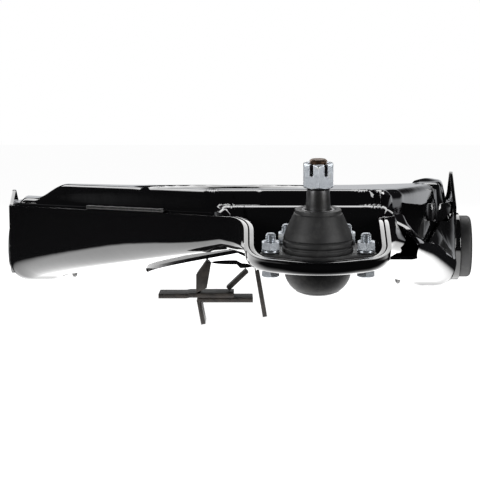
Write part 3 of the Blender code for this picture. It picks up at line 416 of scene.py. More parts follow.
def floor_height(x, y):
    """Underside of the tray: level under the bushings, a slope to the pocket, then the tilted pad."""
    lug = np.where(x < 0, -LEFT_TUBE_R, -RIGHT_TUBE_R) - 0.0003 - SHEET
    at_pocket = 0.066 - REACH
    pocket = pad_height(at_pocket) - 2 * SHEET - NEST
    slope = np.clip((y + LUG_FRONT) / (at_pocket + LUG_FRONT), 0, 1)
    blend = smooth((-y - LUG_FRONT + 0.012) / 0.024)
    leg = lug + 0.002 * blend + (pocket - lug - 0.002) * slope**0.85
    return np.where(y < at_pocket, pad_height(y) - 2 * SHEET - NEST, leg)


def rim_height(x, y, on_front):
    """Top edge of the tray: low round the nose, the seam on the legs, a pointed lip on either end wall,
    and a vee on the right leg where the cover comes down over it."""
    height = NOSE_RIM_Z + (SEAM_Z - NOSE_RIM_Z) * smooth((y + REACH + 0.045) / 0.1)
    left_lip = 0.013 * np.clip(1 - abs(y + 0.005) / 0.030, 0, 1) * (x < 0.004 - SPAN_LEFT) * on_front
    over = np.where(x < VEE_X, (VEE_X - x) / 0.026, (x - VEE_X) / 0.040)
    vee = 0.006 + (SEAM_Z - 0.006) * np.clip(over, 0, 1)
    on_right = on_front & (x > VEE_X - 0.026) & (y < -0.030)
    height = np.where(on_right, np.minimum(height, vee), height)
    end_lip = np.interp(y, (-0.056, -0.030, 0.0, LUG_BACK), (0.025, 0.045, 0.067, SEAM_Z))
    return np.where(on_front & (x > SPAN_RIGHT - 0.004), end_lip, height) + left_lip


def corner_radius(y):
    return 0.009 + 0.008 * smooth((y + REACH - 0.08) / 0.1)


def flare_at(x, y):
    """How far the tray's top edge sits in from its bottom edge, along the right leg only."""
    return FLARE * smooth((y + REACH - 0.060) / 0.026) * smooth((-0.040 - y) / 0.030) * (x > BALL_X)


def shaped(plan, starts, near_rows, profile, shift):
    """Adds the heights to a plan grid, after its lug corners are rounded. profile(x, y, ring, edge_x,
    edge_y, on_front) gives the height of the ring-th line in from the outline."""
    rows, columns = plan.shape[:2]
    row = np.arange(rows)[:, None] * np.ones((1, columns), int)
    column = np.arange(columns)[None, :] * np.ones((rows, 1), int)
    from_row = np.minimum(row, rows - 1 - row)
    from_column = np.minimum(column, columns - 1 - column)
    left = plan[..., 0] < 0
    outer = np.where(left, plan[..., 0] + SPAN_LEFT, SPAN_RIGHT - plan[..., 0]) - shift
    inner = np.where(left, LUG_LEFT, LUG_RIGHT) - outer - 2 * shift
    along = LUG_BACK - plan[..., 1]
    nearer_out = outer < inner
    aside, down = lug_corner_shift(along, np.where(nearer_out, outer, inner))
    on_lug = along < LUG_CORNER
    inward = np.where(left, 1.0, -1.0) * np.where(nearer_out, 1.0, -1.0)
    x = plan[..., 0] + np.where(on_lug, inward * aside, 0)
    y = plan[..., 1] - np.where(on_lug, down, 0) - shift * np.clip(1 - along / LUG_CORNER, 0, 1)
    by_row = from_row <= from_column
    on_front = (row < rows / 2) & by_row
    edge_x = np.where(by_row, np.where(on_front, starts[:, 0], plan[-1, :, 0]), x)
    edge_y = np.where(by_row, np.where(on_front, starts[:, 1], plan[-1, :, 1]), y)
    ring = np.minimum(np.minimum(from_row, from_column), near_rows)
    return np.stack([x, y, profile(x, y, ring, edge_x, edge_y, on_front)], axis=-1)


def grid_normals(points):
    """Unit cross products of the steps along the two ways of the grid, facing the side where both turn
    left."""
    across = np.cross(np.gradient(points, axis=1), np.gradient(points, axis=0))
    return across / np.maximum(np.linalg.norm(across, axis=-1, keepdims=True), 1e-12)


def thick_sheet(name, under, thickness=SHEET, bulge=0.0002, turns=6):
    """A closed sheet over the grid `under`. The upper face is the grid moved by the thickness along its
    normals, and the rim is half an ellipse carried round the grid's four edges."""
    normal = grid_normals(under)
    rows, columns = under.shape[:2]
    number = np.arange(rows * columns).reshape(rows, columns)
    loop = np.concatenate([number[0, :-1], number[:-1, -1], number[-1, :0:-1], number[:0:-1, 0]])
    flat_under = under.reshape(-1, 3)
    flat_normal = normal.reshape(-1, 3)
    over = flat_under + thickness * flat_normal
    edge = flat_under[loop]
    way = np.roll(edge, -1, axis=0) - np.roll(edge, 1, axis=0)
    way /= np.linalg.norm(way, axis=1, keepdims=True)
    out = np.cross(way, flat_normal[loop])
    angle = np.linspace(0, math.pi, turns + 1)[1:-1, None, None]
    middle = edge + thickness / 2 * flat_normal[loop]
    arcs = middle + np.cos(angle) * thickness / 2 * flat_normal[loop] + np.sin(angle) * bulge * out
    total = rows * columns
    round_edge = [2 * total + k * len(loop) + np.arange(len(loop)) for k in range(turns - 1)]
    rings = [loop + total, *round_edge, loop]
    quads = np.stack([number[:-1, :-1], number[1:, :-1], number[1:, 1:], number[:-1, 1:]], -1).reshape(-1, 4)
    faces = [quads, quads[:, ::-1] + total]
    for high, low in zip(rings, rings[1:]):
        faces.append(np.stack([high, low, np.roll(low, -1), np.roll(high, -1)], axis=1))
    points = np.concatenate([flat_under, over, arcs.reshape(-1, 3)]) + ARM
    mesh = bpy.data.meshes.new(name)
    mesh.from_pydata(points.tolist(), [], np.concatenate(faces).tolist())
    mesh.shade_smooth()
    return linked(name, mesh)


def cut_holes(piece, cutters):
    """Takes the cutters' shapes out of a closed piece, and creases it at the new edges."""
    for cutter in cutters:
        step = piece.modifiers.new("hole", "BOOLEAN")
        step.object = cutter
    evaluated = piece.evaluated_get(bpy.context.evaluated_depsgraph_get())
    mesh = bpy.data.meshes.new_from_object(evaluated)
    piece.modifiers.clear()
    piece.data = mesh
    mesh.shade_smooth()
    mesh.set_sharp_from_angle(angle=math.radians(50))
    for cutter in cutters:
        bpy.data.objects.remove(cutter)


def drill(radius, start, end, sides=64):
    """A closed prism with that many sides along the line from start to end, for cutting a hole."""
    start, end = np.array(start, float) + ARM, np.array(end, float) + ARM
    way = (end - start) / np.linalg.norm(end - start)
    first = np.cross(way, (0, 0, 1) if abs(way[2]) < 0.9 else (1, 0, 0))
    first /= np.linalg.norm(first)
    second = np.cross(way, first)
    turn = full_turn(sides)
    ring = radius * (np.cos(turn) * first + np.sin(turn) * second)
    k = np.arange(sides)
    shape = bpy.data.meshes.new("drill")
    walls = np.stack([k, (k + 1) % sides, (k + 1) % sides + sides, k + sides], axis=1)
    faces = [*walls.tolist(), k[::-1].tolist(), (k + sides).tolist()]
    shape.from_pydata(np.concatenate([start + ring, end + ring]).tolist(), [], faces)
    return linked("drill", shape)


WALL_ROWS = 4
ROUND_ROWS = 8
EDGE_ROWS = WALL_ROWS + ROUND_ROWS
LUG_CORNER_R = 0.017  # bottom edge of the lugs
QUARTER_STEPS = 1 - np.cos(np.linspace(0, math.pi / 2, ROUND_ROWS + 1))  # inwards round a quarter circle


def lower_insets(lengths, flared):
    """Rows down the wall, then round its bottom corner."""
    start, _ = at_length(front_edge if flared else back_edge, lengths)
    radius = corner_radius(start[:, 1])
    top = flare_at(start[:, 0], start[:, 1]) if flared else np.zeros(len(lengths))
    wall = np.linspace(0, 1, WALL_ROWS, endpoint=False)[:, None]
    return np.concatenate([top * (1 - wall) + DRAFT * wall, DRAFT + radius * QUARTER_STEPS[:, None]])


def lower_profile(x, y, ring, edge_x, edge_y, on_front):
    """From the rim straight down to one corner radius over the floor, then a quarter circle to the floor."""
    floor = floor_height(x, y)
    radius = corner_radius(y)
    rim = rim_height(edge_x, edge_y, on_front)
    wall = np.clip(ring / WALL_ROWS, 0, 1)
    angle = np.clip((ring - WALL_ROWS) / ROUND_ROWS, 0, 1) * math.pi / 2
    straight = rim + (floor + radius - rim) * wall
    return np.where(ring < WALL_ROWS, straight, floor + radius * (1 - np.sin(angle)))


wall_rows = DRAFT * np.arange(WALL_ROWS) / WALL_ROWS
lengths = edge_columns(np.concatenate([wall_rows, DRAFT + LUG_CORNER_R * QUARTER_STEPS]))
back_lengths = facing_lengths(lengths)
starts, plan = plan_grid(lengths, lower_insets(lengths, True), lower_insets(back_lengths, False), 44)
lower = thick_sheet("lower_shell", shaped(plan, starts, EDGE_ROWS, lower_profile, 0.0))


def noise(nodes, place, scale, detail=3.0, roughness=0.55):
    """Noise from 0 to 1, scale bumps to the metre."""
    values = {"Vector": place, "Scale": scale, "Detail": detail, "Roughness": roughness}
    return add_node(nodes, "ShaderNodeTexNoise", values=values)


def bumped(nodes, *layers):
    """The surface's normal tilted by each (height, distance) layer in turn."""
    normal = None
    for height, distance in layers:
        values = {"Height": height, "Distance": distance, "Strength": 1.0}
        if normal:
            values["Normal"] = normal
        normal = add_node(nodes, "ShaderNodeBump", values=values)
    return normal


def gloss_black():
    """Gloss black paint on pressed steel: soft waves of the pressing, orange peel, dust, faint scuffs."""
    look, nodes, place = new_finish("gloss_black_paint")
    dust = noise(nodes, place, 900.0, 4.0).ramp(0.66, 0.78) * noise(nodes, place, 30.0).ramp(0.48, 0.62)
    scuff = noise(nodes, place, 70.0, 6.0, 0.7).ramp(0.60, 0.74)
    colour = blend_colour(nodes, dust * 0.5, (0.0035, 0.0035, 0.0038), (0.060, 0.058, 0.055))
    roughness = 0.055 + scuff * 0.09 + dust * 0.3
    waves, peel = noise(nodes, place, 55.0, 2.0), noise(nodes, place, 650.0, 2.0)
    return wire(
        look,
        Base_Color=colour,
        Roughness=roughness,
        Normal=bumped(nodes, (waves, 0.00022), (peel, 0.000009)),
        Specular_IOR_Level=0.62,
        Coat_Weight=0.6,
        Coat_Roughness=0.03,
    )


GLOSS_BLACK = gloss_black()


def fit_out(piece, look, body, slot, *nodes):
    """Gives a piece its finish and its body, and hides the CAD nodes that it stands for."""
    piece.data.materials.clear()
    piece.data.materials.append(look)
    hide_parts(*nodes)
    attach(piece, body)


WINDOW_R = 0.0135  # the six-sided opening, out to its corners
WINDOW_MIDDLE = np.array([BALL_X + 0.073, 0.112 - REACH, 0.012])
WINDOW_WAY = np.array([0, -math.sin(math.radians(68)), math.cos(math.radians(68))])
PAD_ORIGIN = np.array([BALL_X, -REACH, PAD_Z])
HOUSING_R = 0.0256
FIT = 0.0003
BOLT_R = 0.004
BOLT_SPOTS = {
    "front_left": (-0.036, -0.010),
    "front_right": (0.036, -0.010),
    "back_left": (-0.023, 0.027),
    "back_right": (0.023, 0.027),
}
DRAIN_PLACE = np.array([-0.005, -0.150, 0.0])
DRAIN_R = 0.018


def on_pad(points):
    """From the tilted pocket floor's frame, whose Z is the ball joint's axis, to the arm's frame."""
    x, y, z = np.moveaxis(np.asarray(points, float), -1, 0)
    lean, rise = math.sin(PAD_TILT), math.cos(PAD_TILT)
    return PAD_ORIGIN + np.stack([x, y * rise - z * lean, y * lean + z * rise], axis=-1)


def joint_drills():
    """Drills for the ball joint's housing and its four bolts, along its axis."""
    tools = [drill(HOUSING_R + FIT, on_pad((0, 0, -0.04)), on_pad((0, 0, 0.03)), 128)]
    for x, y in BOLT_SPOTS.values():
        tools.append(drill(BOLT_R + FIT, on_pad((x, y, -0.04)), on_pad((x, y, 0.03))))
    return tools


def floor_drills():
    """Drills for the ball joint, the drain and the bushing tubes, through both stampings."""
    tools = joint_drills()
    tools.append(drill(DRAIN_R, DRAIN_PLACE - (0, 0, 0.1), DRAIN_PLACE + (0, 0, 0.1), 96))
    lugs = ((-SPAN_LEFT + LUG_LEFT / 2, LEFT_TUBE_R), (SPAN_RIGHT - LUG_RIGHT / 2, RIGHT_TUBE_R))
    for x, radius in lugs:
        tools.append(drill(radius + FIT, (x - 0.04, 0, 0), (x + 0.04, 0, 0), 128))
    return tools


window = drill(WINDOW_R, WINDOW_MIDDLE - 0.03 * WINDOW_WAY, WINDOW_MIDDLE + 0.03 * WINDOW_WAY, 6)
cut_holes(lower, floor_drills() + [window])
fit_out(lower, GLOSS_BLACK, "arm", "black_paint", "lower_stamping")

# Upper stamping. The cover, pressed from the same steel: a raised crown with a dish round the drain, a
# flat ledge where it meets the tray, a long stiffening emboss behind the pocket, and the pocket itself.
CROWN_Z = 0.055
CROWN_RUN = 0.006
LEDGE_RING = 6
CROWN_RING = 14
UPPER_SHIFT = SHEET + NEST
EMBOSS_MIDDLE = (0.0615, 0.0920 - REACH)
EMBOSS_HALF = 0.047
EMBOSS_R = 0.0058


def vee_share(x, y):
    """1 where the cover comes down outside its seam to the vee, on the right leg's front."""
    return smooth((y + REACH - 0.060) / 0.026) * smooth((-0.026 - y) / 0.012) * (x > BALL_X)


def pocket_share(y):
    return 1 - smooth((y + REACH - 0.054) / 0.020)


def upper_insets(lengths, on_front):
    """In the pocket a wall and a quarter circle, and on the legs a wall, a ledge and the crown's rise."""
    start, _ = at_length(front_edge if on_front else back_edge, lengths)
    ring = np.arange(CROWN_RING + 1)[:, None]
    wall = DRAFT * np.clip(ring / WALL_ROWS, 0, 1)
    turn = np.clip((ring - WALL_ROWS) / (CROWN_RING - WALL_ROWS), 0, 1) * math.pi / 2
    pocket = wall + (corner_radius(start[:, 1]) - UPPER_SHIFT) * (1 - np.cos(turn))
    ledge = np.clip((ring - WALL_ROWS) / (LEDGE_RING - WALL_ROWS), 0, 1) * (LEDGE - DRAFT)
    crown = wall + ledge + np.clip((ring - LEDGE_RING) / (CROWN_RING - LEDGE_RING), 0, 1) * CROWN_RUN
    share = pocket_share(start[:, 1]) if on_front else np.zeros(len(lengths))
    behind = flare_at(start[:, 0], start[:, 1]) + SHEET * vee_share(start[:, 0], start[:, 1])
    return share * pocket + (1 - share) * crown + UPPER_SHIFT + (behind if on_front else 0)


def top_height(x, y):
    """Underside of the cover away from its edge: lower at the left lug and just behind the pocket, dished
    round the drain, swollen over the right bushing, and raised along a stadium on its front slope."""
    left = 0.042 + (CROWN_Z - 0.042) * smooth((x + SPAN_LEFT - 0.025) / 0.030)
    apex = 0.043 + (CROWN_Z - 0.043) * smooth((y + REACH - 0.085) / 0.014)
    away = np.hypot((x - DRAIN_PLACE[0]) / 0.085, (y - DRAIN_PLACE[1]) / 0.050)
    dome = 0.004 * np.exp(-(((x - 0.162) / 0.020) ** 2) - (y / 0.030) ** 2)
    beside = np.maximum(np.abs(x - EMBOSS_MIDDLE[0]) - EMBOSS_HALF + EMBOSS_R, 0)
    from_spine = np.hypot(beside, y - EMBOSS_MIDDLE[1])
    emboss = 0.0016 * smooth((EMBOSS_R - from_spine) / 0.0022)
    crown = np.minimum(left, apex) - 0.010 * smooth((1 - away) / 0.3) + dome + emboss
    share = pocket_share(y)
    return share * (pad_height(y) - SHEET) + (1 - share) * crown


def upper_profile(x, y, ring, edge_x, edge_y, on_front):
    """In the pocket the tray's own profile, inside it. On the legs a foot, a ledge and the crown's rise."""
    share = pocket_share(edge_y)
    radius = corner_radius(y) - UPPER_SHIFT
    pad = pad_height(y) - SHEET
    rim = rim_height(edge_x, edge_y, on_front)
    right_leg = (edge_x > POCKET_RIGHT + 0.012) & (edge_x < SPAN_RIGHT - 0.002)
    veed = on_front & right_leg & (edge_y < -0.036)
    foot = np.where(veed, rim - 0.004, np.minimum(rim, SEAM_Z))
    head = np.where(veed, CROWN_Z - 0.003, SEAM_Z)
    ledge = np.where(veed, CROWN_Z - 0.0005, SEAM_Z)
    down = np.clip(ring / WALL_ROWS, 0, 1)
    turn = np.clip((ring - WALL_ROWS) / (CROWN_RING - WALL_ROWS), 0, 1) * math.pi / 2
    top = top_height(x, y)
    straight = rim + (pad + radius - rim) * down
    pocket = np.where(ring < WALL_ROWS, straight, top + radius * (1 - np.sin(turn)))
    on_ledge = np.clip((ring - WALL_ROWS) / (LEDGE_RING - WALL_ROWS), 0, 1)
    rise = smooth((ring - LEDGE_RING) / (CROWN_RING - LEDGE_RING))
    flat = head + (ledge - head) * on_ledge
    leg = np.where(ring < WALL_ROWS, foot + (head - foot) * down, flat + (top - flat) * rise)
    return share * pocket + (1 - share) * leg


ledge_rows = np.linspace(DRAFT, LEDGE, LEDGE_RING - WALL_ROWS + 1)
crown_rows = LEDGE + CROWN_RUN * np.arange(1, ROUND_ROWS + 1) / ROUND_ROWS
upper_rows = np.concatenate([wall_rows, ledge_rows, crown_rows])
upper_lengths = edge_columns(upper_rows, 0.0029)
upper_back = np.interp(upper_lengths, lengths, back_lengths)
upper_front = upper_insets(upper_lengths, True)
starts, plan = plan_grid(upper_lengths, upper_front, upper_insets(upper_back, False), 60)
upper = thick_sheet("upper_shell", shaped(plan, starts, CROWN_RING, upper_profile, UPPER_SHIFT))
cut_holes(upper, floor_drills())
fit_out(upper, GLOSS_BLACK, "arm", "black_paint", "upper_stamping")

# Welds. Beads laid by wire along the seam of the left leg, along the chassis side and under either
# bushing tube. Each shows the ripples of its puddles under the paint.
WELD_R = 0.0018
WELD_START = 0.112  # along the left leg's seam from its lug
WELD_LONG = 0.105
PUDDLE = 0.0021


def weld_bead(name, route, replaced):
    """A cord along the route whose radius swells at every puddle, by a slightly different amount."""
    route = np.asarray(route, float)
    along = lengths_along(route)
    fine = np.linspace(0, along[-1], int(along[-1] / 0.0004))
    middle = np.stack([np.interp(fine, along, route[:, k]) for k in range(3)], axis=1)
    way = np.gradient(middle, axis=0)
    way /= np.linalg.norm(way, axis=1, keepdims=True)
    side = np.cross(way, (0.31, 0.17, 0.93))
    side /= np.linalg.norm(side, axis=1, keepdims=True)
    up = np.cross(side, way)
    puddle = fine / PUDDLE
    uneven = 0.04 * np.sin(1.7 * puddle) * np.sin(0.9 * puddle + 1)
    swell = 0.86 + 0.10 * np.abs(np.sin(math.pi * puddle)) + uneven
    taper = np.sqrt(np.clip(np.minimum(fine, fine[::-1]) / WELD_R, 0.0004, 1))
    turn = full_turn(14)[None]
    lump = 1 + 0.05 * np.sin(3 * turn + puddle[:, None, None])
    radius = WELD_R * (swell * taper)[:, None, None] * lump
    points = middle[:, None] + radius * (np.cos(turn) * side[:, None] + np.sin(turn) * up[:, None])
    fit_out(ring_mesh(name, points), WELD_PAINT, "arm", "black_paint", replaced)


def ring_mesh(name, points, joined=False, angle=35):
    """A closed surface over stacked rings of points: quads between rings, and the ends closed by a fan,
    or joined to each other as on a washer."""
    rows, columns = points.shape[:2]
    number = np.arange(rows * columns).reshape(rows, columns)
    if joined:
        number = np.concatenate([number, number[:1]])
    after = np.roll(number, -1, axis=1)
    faces = np.stack([number[:-1], after[:-1], after[1:], number[1:]], axis=-1).reshape(-1, 4).tolist()
    if not joined:
        faces += [number[0, ::-1].tolist(), number[-1].tolist()]
    shape = bmesh.new()
    mesh = bpy.data.meshes.new(name)
    mesh.from_pydata((points.reshape(-1, 3) + ARM).tolist(), [], faces)
    shape.from_mesh(mesh)
    bmesh.ops.remove_doubles(shape, verts=shape.verts, dist=1e-7)
    bmesh.ops.recalc_face_normals(shape, faces=shape.faces)
    shape.to_mesh(mesh)
    shape.free()
    mesh.shade_smooth()
    mesh.set_sharp_from_angle(angle=math.radians(angle))
    return linked(name, mesh)


def weld_paint():
    """The same black paint, pitted and duller over the bead's scale."""
    look, nodes, place = new_finish("weld_black_paint")
    scale = noise(nodes, place, 420.0, 5.0, 0.7)
    colour = blend_colour(nodes, scale.ramp(0.5, 0.75), (0.006, 0.006, 0.006), (0.045, 0.038, 0.032))
    return wire(look, Base_Color=colour, Roughness=0.16 + scale * 0.35, Normal=bumped(nodes, (scale, 0.0005)))


WELD_PAINT = weld_paint()


def seam_route(edge, first, last, inset):
    spots, sideways = at_length(edge, np.linspace(first, last, 60))
    spots = spots + sideways * inset
    return np.column_stack([spots, np.full(60, SEAM_Z + WELD_R + FIT)])


def tube_route(wall, out, radius):
    turn = np.linspace(math.radians(-160), math.radians(-20), 60)
    ring = radius + WELD_R + FIT
    beside = np.full(60, wall + out * (WELD_R + FIT))
    return np.column_stack([beside, ring * np.cos(turn), ring * np.sin(turn)])


start = nearest_length(front_edge, (-SPAN_LEFT, -LUG_FRONT)) + WELD_START
front_route = seam_route(front_edge, start, start + WELD_LONG, SHEET / 2)
back_ends = (BACK_LONG / 2 - WELD_LONG / 2, BACK_LONG / 2 + WELD_LONG / 2)
weld_bead("front_seam_bead", front_route, "seam_weld_front")
weld_bead("back_seam_bead", seam_route(back_edge, *back_ends, -SHEET / 2), "seam_weld_back")
weld_bead("left_tube_bead", tube_route(LUG_LEFT - SPAN_LEFT, 1, LEFT_TUBE_R), "left_tube_weld")
weld_bead("right_tube_bead", tube_route(SPAN_RIGHT - LUG_RIGHT, -1, RIGHT_TUBE_R), "right_tube_weld")

# Bushings. In each lug a welded tube holds a pressed-in steel shell, a rubber moulded in it, and the
# inner sleeve that the frame's bolt clamps. The rubber's thrust flange is at the +X end of both.
TUBE_WALL = 0.003
SHELL_WALL = 0.0016
SLEEVE_R = 0.0115
AXLE_R = 0.0072
FLANGE_THICK = 0.0105


def softened(corners, radius=0.0004):
    """A closed (radius, height) outline whose corners are rounded. It starts in the middle of a side."""
    corners = [(*corner, radius) if len(corner) == 2 else corner for corner in corners]
    start = tuple((np.array(corners[-1][:2]) + np.array(corners[0][:2])) / 2)
    path = rounded_path([(*start, 0)] + corners + [(*start, 0)], 0.0006)
    return path[:-1]


def polar(radius, turn, height):
    """Points at that radius, angle and height, each an array that spreads over the others."""
    spread = np.broadcast_arrays(radius * np.cos(turn), radius * np.sin(turn), height)
    return np.stack(spread, axis=-1)


def turned(name, outline, put, sides=96):
    """The (radius, height) outline spun about its axis into a ring, then put in place."""
    return ring_mesh(name, put(polar(outline[:, 0], full_turn(sides), outline[:, 1])), joined=True)


def on_axle(middle):
    """Turns a spun piece's axis onto the bushing axis."""
    return lambda points: np.stack([points[..., 2] + middle, points[..., 0], points[..., 1]], axis=-1)


def band(inner, outer, low, high):
    return [(inner, low), (outer, low), (outer, high), (inner, high)]


def moulded_rubber(name="moulded_rubber", grey=0.016, worn=0.030):
    """Black rubber with the mould's fine grain, a dusty bloom and rubbed patches."""
    look, nodes, place = new_finish(name)
    bloom = noise(nodes, place, 140.0, 6.0, 0.65)
    grain = noise(nodes, place, 2600.0, 2.0)
    ends = (grey, grey, grey * 1.03), (worn, worn, worn * 0.98)
    return wire(
        look,
        Base_Color=blend_colour(nodes, bloom.ramp(0.42, 0.72), *ends),
        Roughness=0.46 + bloom * 0.22,
        Normal=bumped(nodes, (noise(nodes, place, 300.0), 0.00010), (grain, 0.000035)),
    )


def machined_steel(name="machined_steel", tone=0.16, tip=None):
    """Dark phosphated steel with fine turning marks across Z, oil-stained in patches. Past the height
    `tip` it is bare and brown."""
    look, nodes, place = new_finish(name)
    stain = noise(nodes, place, 90.0, 5.0, 0.6)
    ends = (tone, tone, tone * 1.02), (tone * 0.55, tone * 0.54, tone * 0.53)
    dark = blend_colour(nodes, stain.ramp(0.4, 0.7), *ends)
    if tip:
        height = add_node(nodes, "ShaderNodeSeparateXYZ", values={0: place}, output=2)
        dark = blend_colour(nodes, height.ramp(tip - 0.0005, tip + 0.0005), dark, (0.115, 0.070, 0.045))
    values = {"Vector": place, "Scale": 420.0, "Distortion": 1.2, "Detail": 2.0}
    marks = add_node(nodes, "ShaderNodeTexWave", {"bands_direction": "Z"}, values)
    return wire(
        look,
        Base_Color=dark,
        Roughness=0.26 + stain * 0.20,
        Normal=bumped(nodes, (marks, 0.000012), (noise(nodes, place, 800.0), 0.00003)),
        Metallic=0.85,
    )


RUBBER = moulded_rubber()
MACHINED = machined_steel()
for side, wall, width, tube_r, flange_r, proud in (
    ("left", -SPAN_LEFT, LUG_LEFT, LEFT_TUBE_R, 0.0225, 0.0012),
    ("right", SPAN_RIGHT, LUG_RIGHT, RIGHT_TUBE_R, 0.0275, 0.005),
):
    inward = 1 if side == "left" else -1
    outer, inner = wall - inward * proud, wall + inward * (width + 0.0012)
    half = abs(outer - inner) / 2
    put = on_axle((outer + inner) / 2)
    shell_r = tube_r - TUBE_WALL - FIT
    rubber_r = shell_r - SHELL_WALL - FIT
    plain = -half - 0.003 + 0.0012
    foot = half + FIT
    end = foot + FLANGE_THICK
    rubber_corners = [
        (SLEEVE_R + FIT, plain),
        (rubber_r, plain, 0.0018),
        (rubber_r, foot, 0.0002),
        (flange_r, foot, 0.001),
        (flange_r, end, 0.0035),
        (SLEEVE_R + 0.0035, end, 0.001),
        (SLEEVE_R + 0.0025, end - 0.0010, 0.0006),
        (SLEEVE_R + FIT, end - 0.0010),
    ]
    sleeve_corners = band(AXLE_R, SLEEVE_R, plain - 0.0005, end + 0.0005)
    for piece_name, outline, look, body, slot in (
        ("bushing_tube", band(shell_r + FIT, tube_r, -half, half), GLOSS_BLACK, "arm", "black_paint"),
        ("bushing_shell", band(shell_r - SHELL_WALL, shell_r, -half, half), MACHINED, "arm", "dark_steel"),
        ("bushing_rubber", rubber_corners, RUBBER, "arm", "rubber"),
        ("inner_sleeve", sleeve_corners, MACHINED, f"{side}_sleeve", "dark_steel"),
    ):
        piece = turned(f"{side}_{piece_name}_turned", softened(outline), put)
        fit_out(piece, look, body, slot, f"{side}_{piece_name}")

# Ball joint. A pressed steel cup with a four-eared flange, bolted to the pocket floor. Plastic seats hold
# the ball, whose stud leans 8 degrees outboard and carries a taper, a thread and a slotted nut.
BALL_R = 0.016
BALL_H = -0.006
JOINT_FLANGE = 0.0047
NUT_H = 0.053
STUD_TOP_H = 0.075
THREAD_R = 0.0069
TAPER_LOW_R = 0.01005
TAPER_TOP_R = 0.00865
NUT_FOOT_Z = (on_pad((0, 0, NUT_H + 0.014)) + ARM)[2]

quarter = np.linspace(0, math.pi / 2, 24)
cup_outside = np.column_stack([0.0056 + 0.020 * np.sin(quarter), -0.029 + 0.020 * (1 - np.cos(quarter))])
cup_lip = [(0.0256, 0.009, 0.0012), (0.0158, 0.009, 0.0008), (0.0135, 0.0033, 0.0003)]
cup_top = rounded_path([(0.0256, -0.009, 0), *cup_lip, (0.0226, 0.0033, 0)], 0.0006)
cup_inside = np.array([(0.0226, -0.014), (0.0166, -0.026), (0.0004, -0.026), (0.0004, -0.029)])
housing = turned("ball_cup", np.concatenate([cup_outside, cup_top[1:], cup_inside]), on_pad, 128)


def pressed_cup():
    """Black phosphated steel, mottled, with a soft sheen."""
    look, nodes, place = new_finish("phosphated_cup")
    mottle = noise(nodes, place, 160.0, 6.0, 0.65)
    return wire(
        look,
        Base_Color=blend_colour(nodes, mottle.ramp(0.4, 0.7), (0.030, 0.030, 0.031), (0.058, 0.057, 0.055)),
        Roughness=0.46 + mottle * 0.16,
        Normal=bumped(nodes, (noise(nodes, place, 500.0, 4.0), 0.00005)),
        Metallic=0.55,
    )


CUP_STEEL = pressed_cup()
fit_out(housing, CUP_STEEL, "arm", "dark_steel", "ball_housing")


def flange_outline():
    """An arc of 8 mm radius round each bolt, a 29 mm arc over the nose, and straight sides between."""
    outline = []
    for spot_name in ("front_left", "back_left", "back_right", "front_right"):
        x, y = BOLT_SPOTS[spot_name]
        heading = math.atan2(y, x)
        swing = heading + np.radians(np.linspace(75, -75, 18))
        outline.append(np.column_stack([x + 0.008 * np.cos(swing), y + 0.008 * np.sin(swing)]))
    swing = np.radians(np.linspace(-52, -128, 18))
    outline.append(0.0291 * np.column_stack([np.cos(swing), np.sin(swing)]))
    return np.concatenate(outline)


def plate(name, outline, low, high, put):
    """The outline between two heights, its edges rounded by half a millimetre in three steps."""
    middle = outline.mean(axis=0)
    lean = np.gradient(np.concatenate([outline[-1:], outline, outline[:1]]), axis=0)[1:-1]
    lean /= np.linalg.norm(lean, axis=1, keepdims=True)
    out = np.stack([lean[:, 1], -lean[:, 0]], axis=1)
    out *= np.sign(((outline - middle) * out).sum())
    soft = 0.0005
    arc = np.radians([90, 60, 30, 0])
    levels = [(a, low + soft * (1 - math.sin(a))) for a in arc]
    levels += [(a, high - soft * (1 - math.sin(a))) for a in arc[::-1]]
    rings = []
    for a, z in levels:
        inset = soft * (1 - math.cos(a))
        rings.append(np.column_stack([outline - out * inset, np.full(len(outline), z)]))
    return ring_mesh(name, put(np.array(rings)), angle=50)


joint_plate = plate("joint_plate", flange_outline(), FIT, FIT + JOINT_FLANGE, on_pad)
cut_holes(joint_plate, joint_drills())
fit_out(joint_plate, CUP_STEEL, "arm", "dark_steel", "ball_joint_flange")


def ivory_plastic():
    """Moulded bearing plastic, a little yellowed, with grease on it."""
    look, nodes, place = new_finish("bearing_ivory")
    grease = noise(nodes, place, 120.0, 4.0)
    return wire(
        look,
        Base_Color=blend_colour(nodes, grease.ramp(0.45, 0.7), (0.74, 0.71, 0.62), (0.50, 0.40, 0.24)),
        Roughness=0.42 - grease * 0.2,
        Normal=bumped(nodes, (noise(nodes, place, 900.0), 0.00002)),
    )


def repaint(node, look):
    """A carried-over CAD node's new finish."""
    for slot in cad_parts[node].material_slots:
        slot.material = look


IVORY = ivory_plastic()
repaint("lower_bearing", IVORY)
repaint("upper_bearing", IVORY)
repaint("preload_washer", MACHINED)


def threaded(outline_r, low, high, pitch, depth, rows=260, sides=48):
    """A shaft whose radius falls by the thread's depth between its turns: a triangle wave of height over
    pitch less the turn, faded out over the first and last pitch."""
    z = np.linspace(low, high, rows)[:, None]
    turn = full_turn(sides).T
    phase = np.mod(z / pitch - turn / (2 * math.pi), 1)
    groove = 1 - np.abs(2 * phase - 1)
    fade = smooth((z - low) / pitch) * smooth((high - 0.0004 - z) / (0.8 * pitch))
    radius = outline_r - depth * smooth(groove * 1.3 - 0.15) * fade
    chamfer = np.clip((high - z) / 0.0013, 0, 1)
    radius = np.minimum(radius, outline_r - 0.0013 * (1 - chamfer))
    return polar(radius, turn, z)


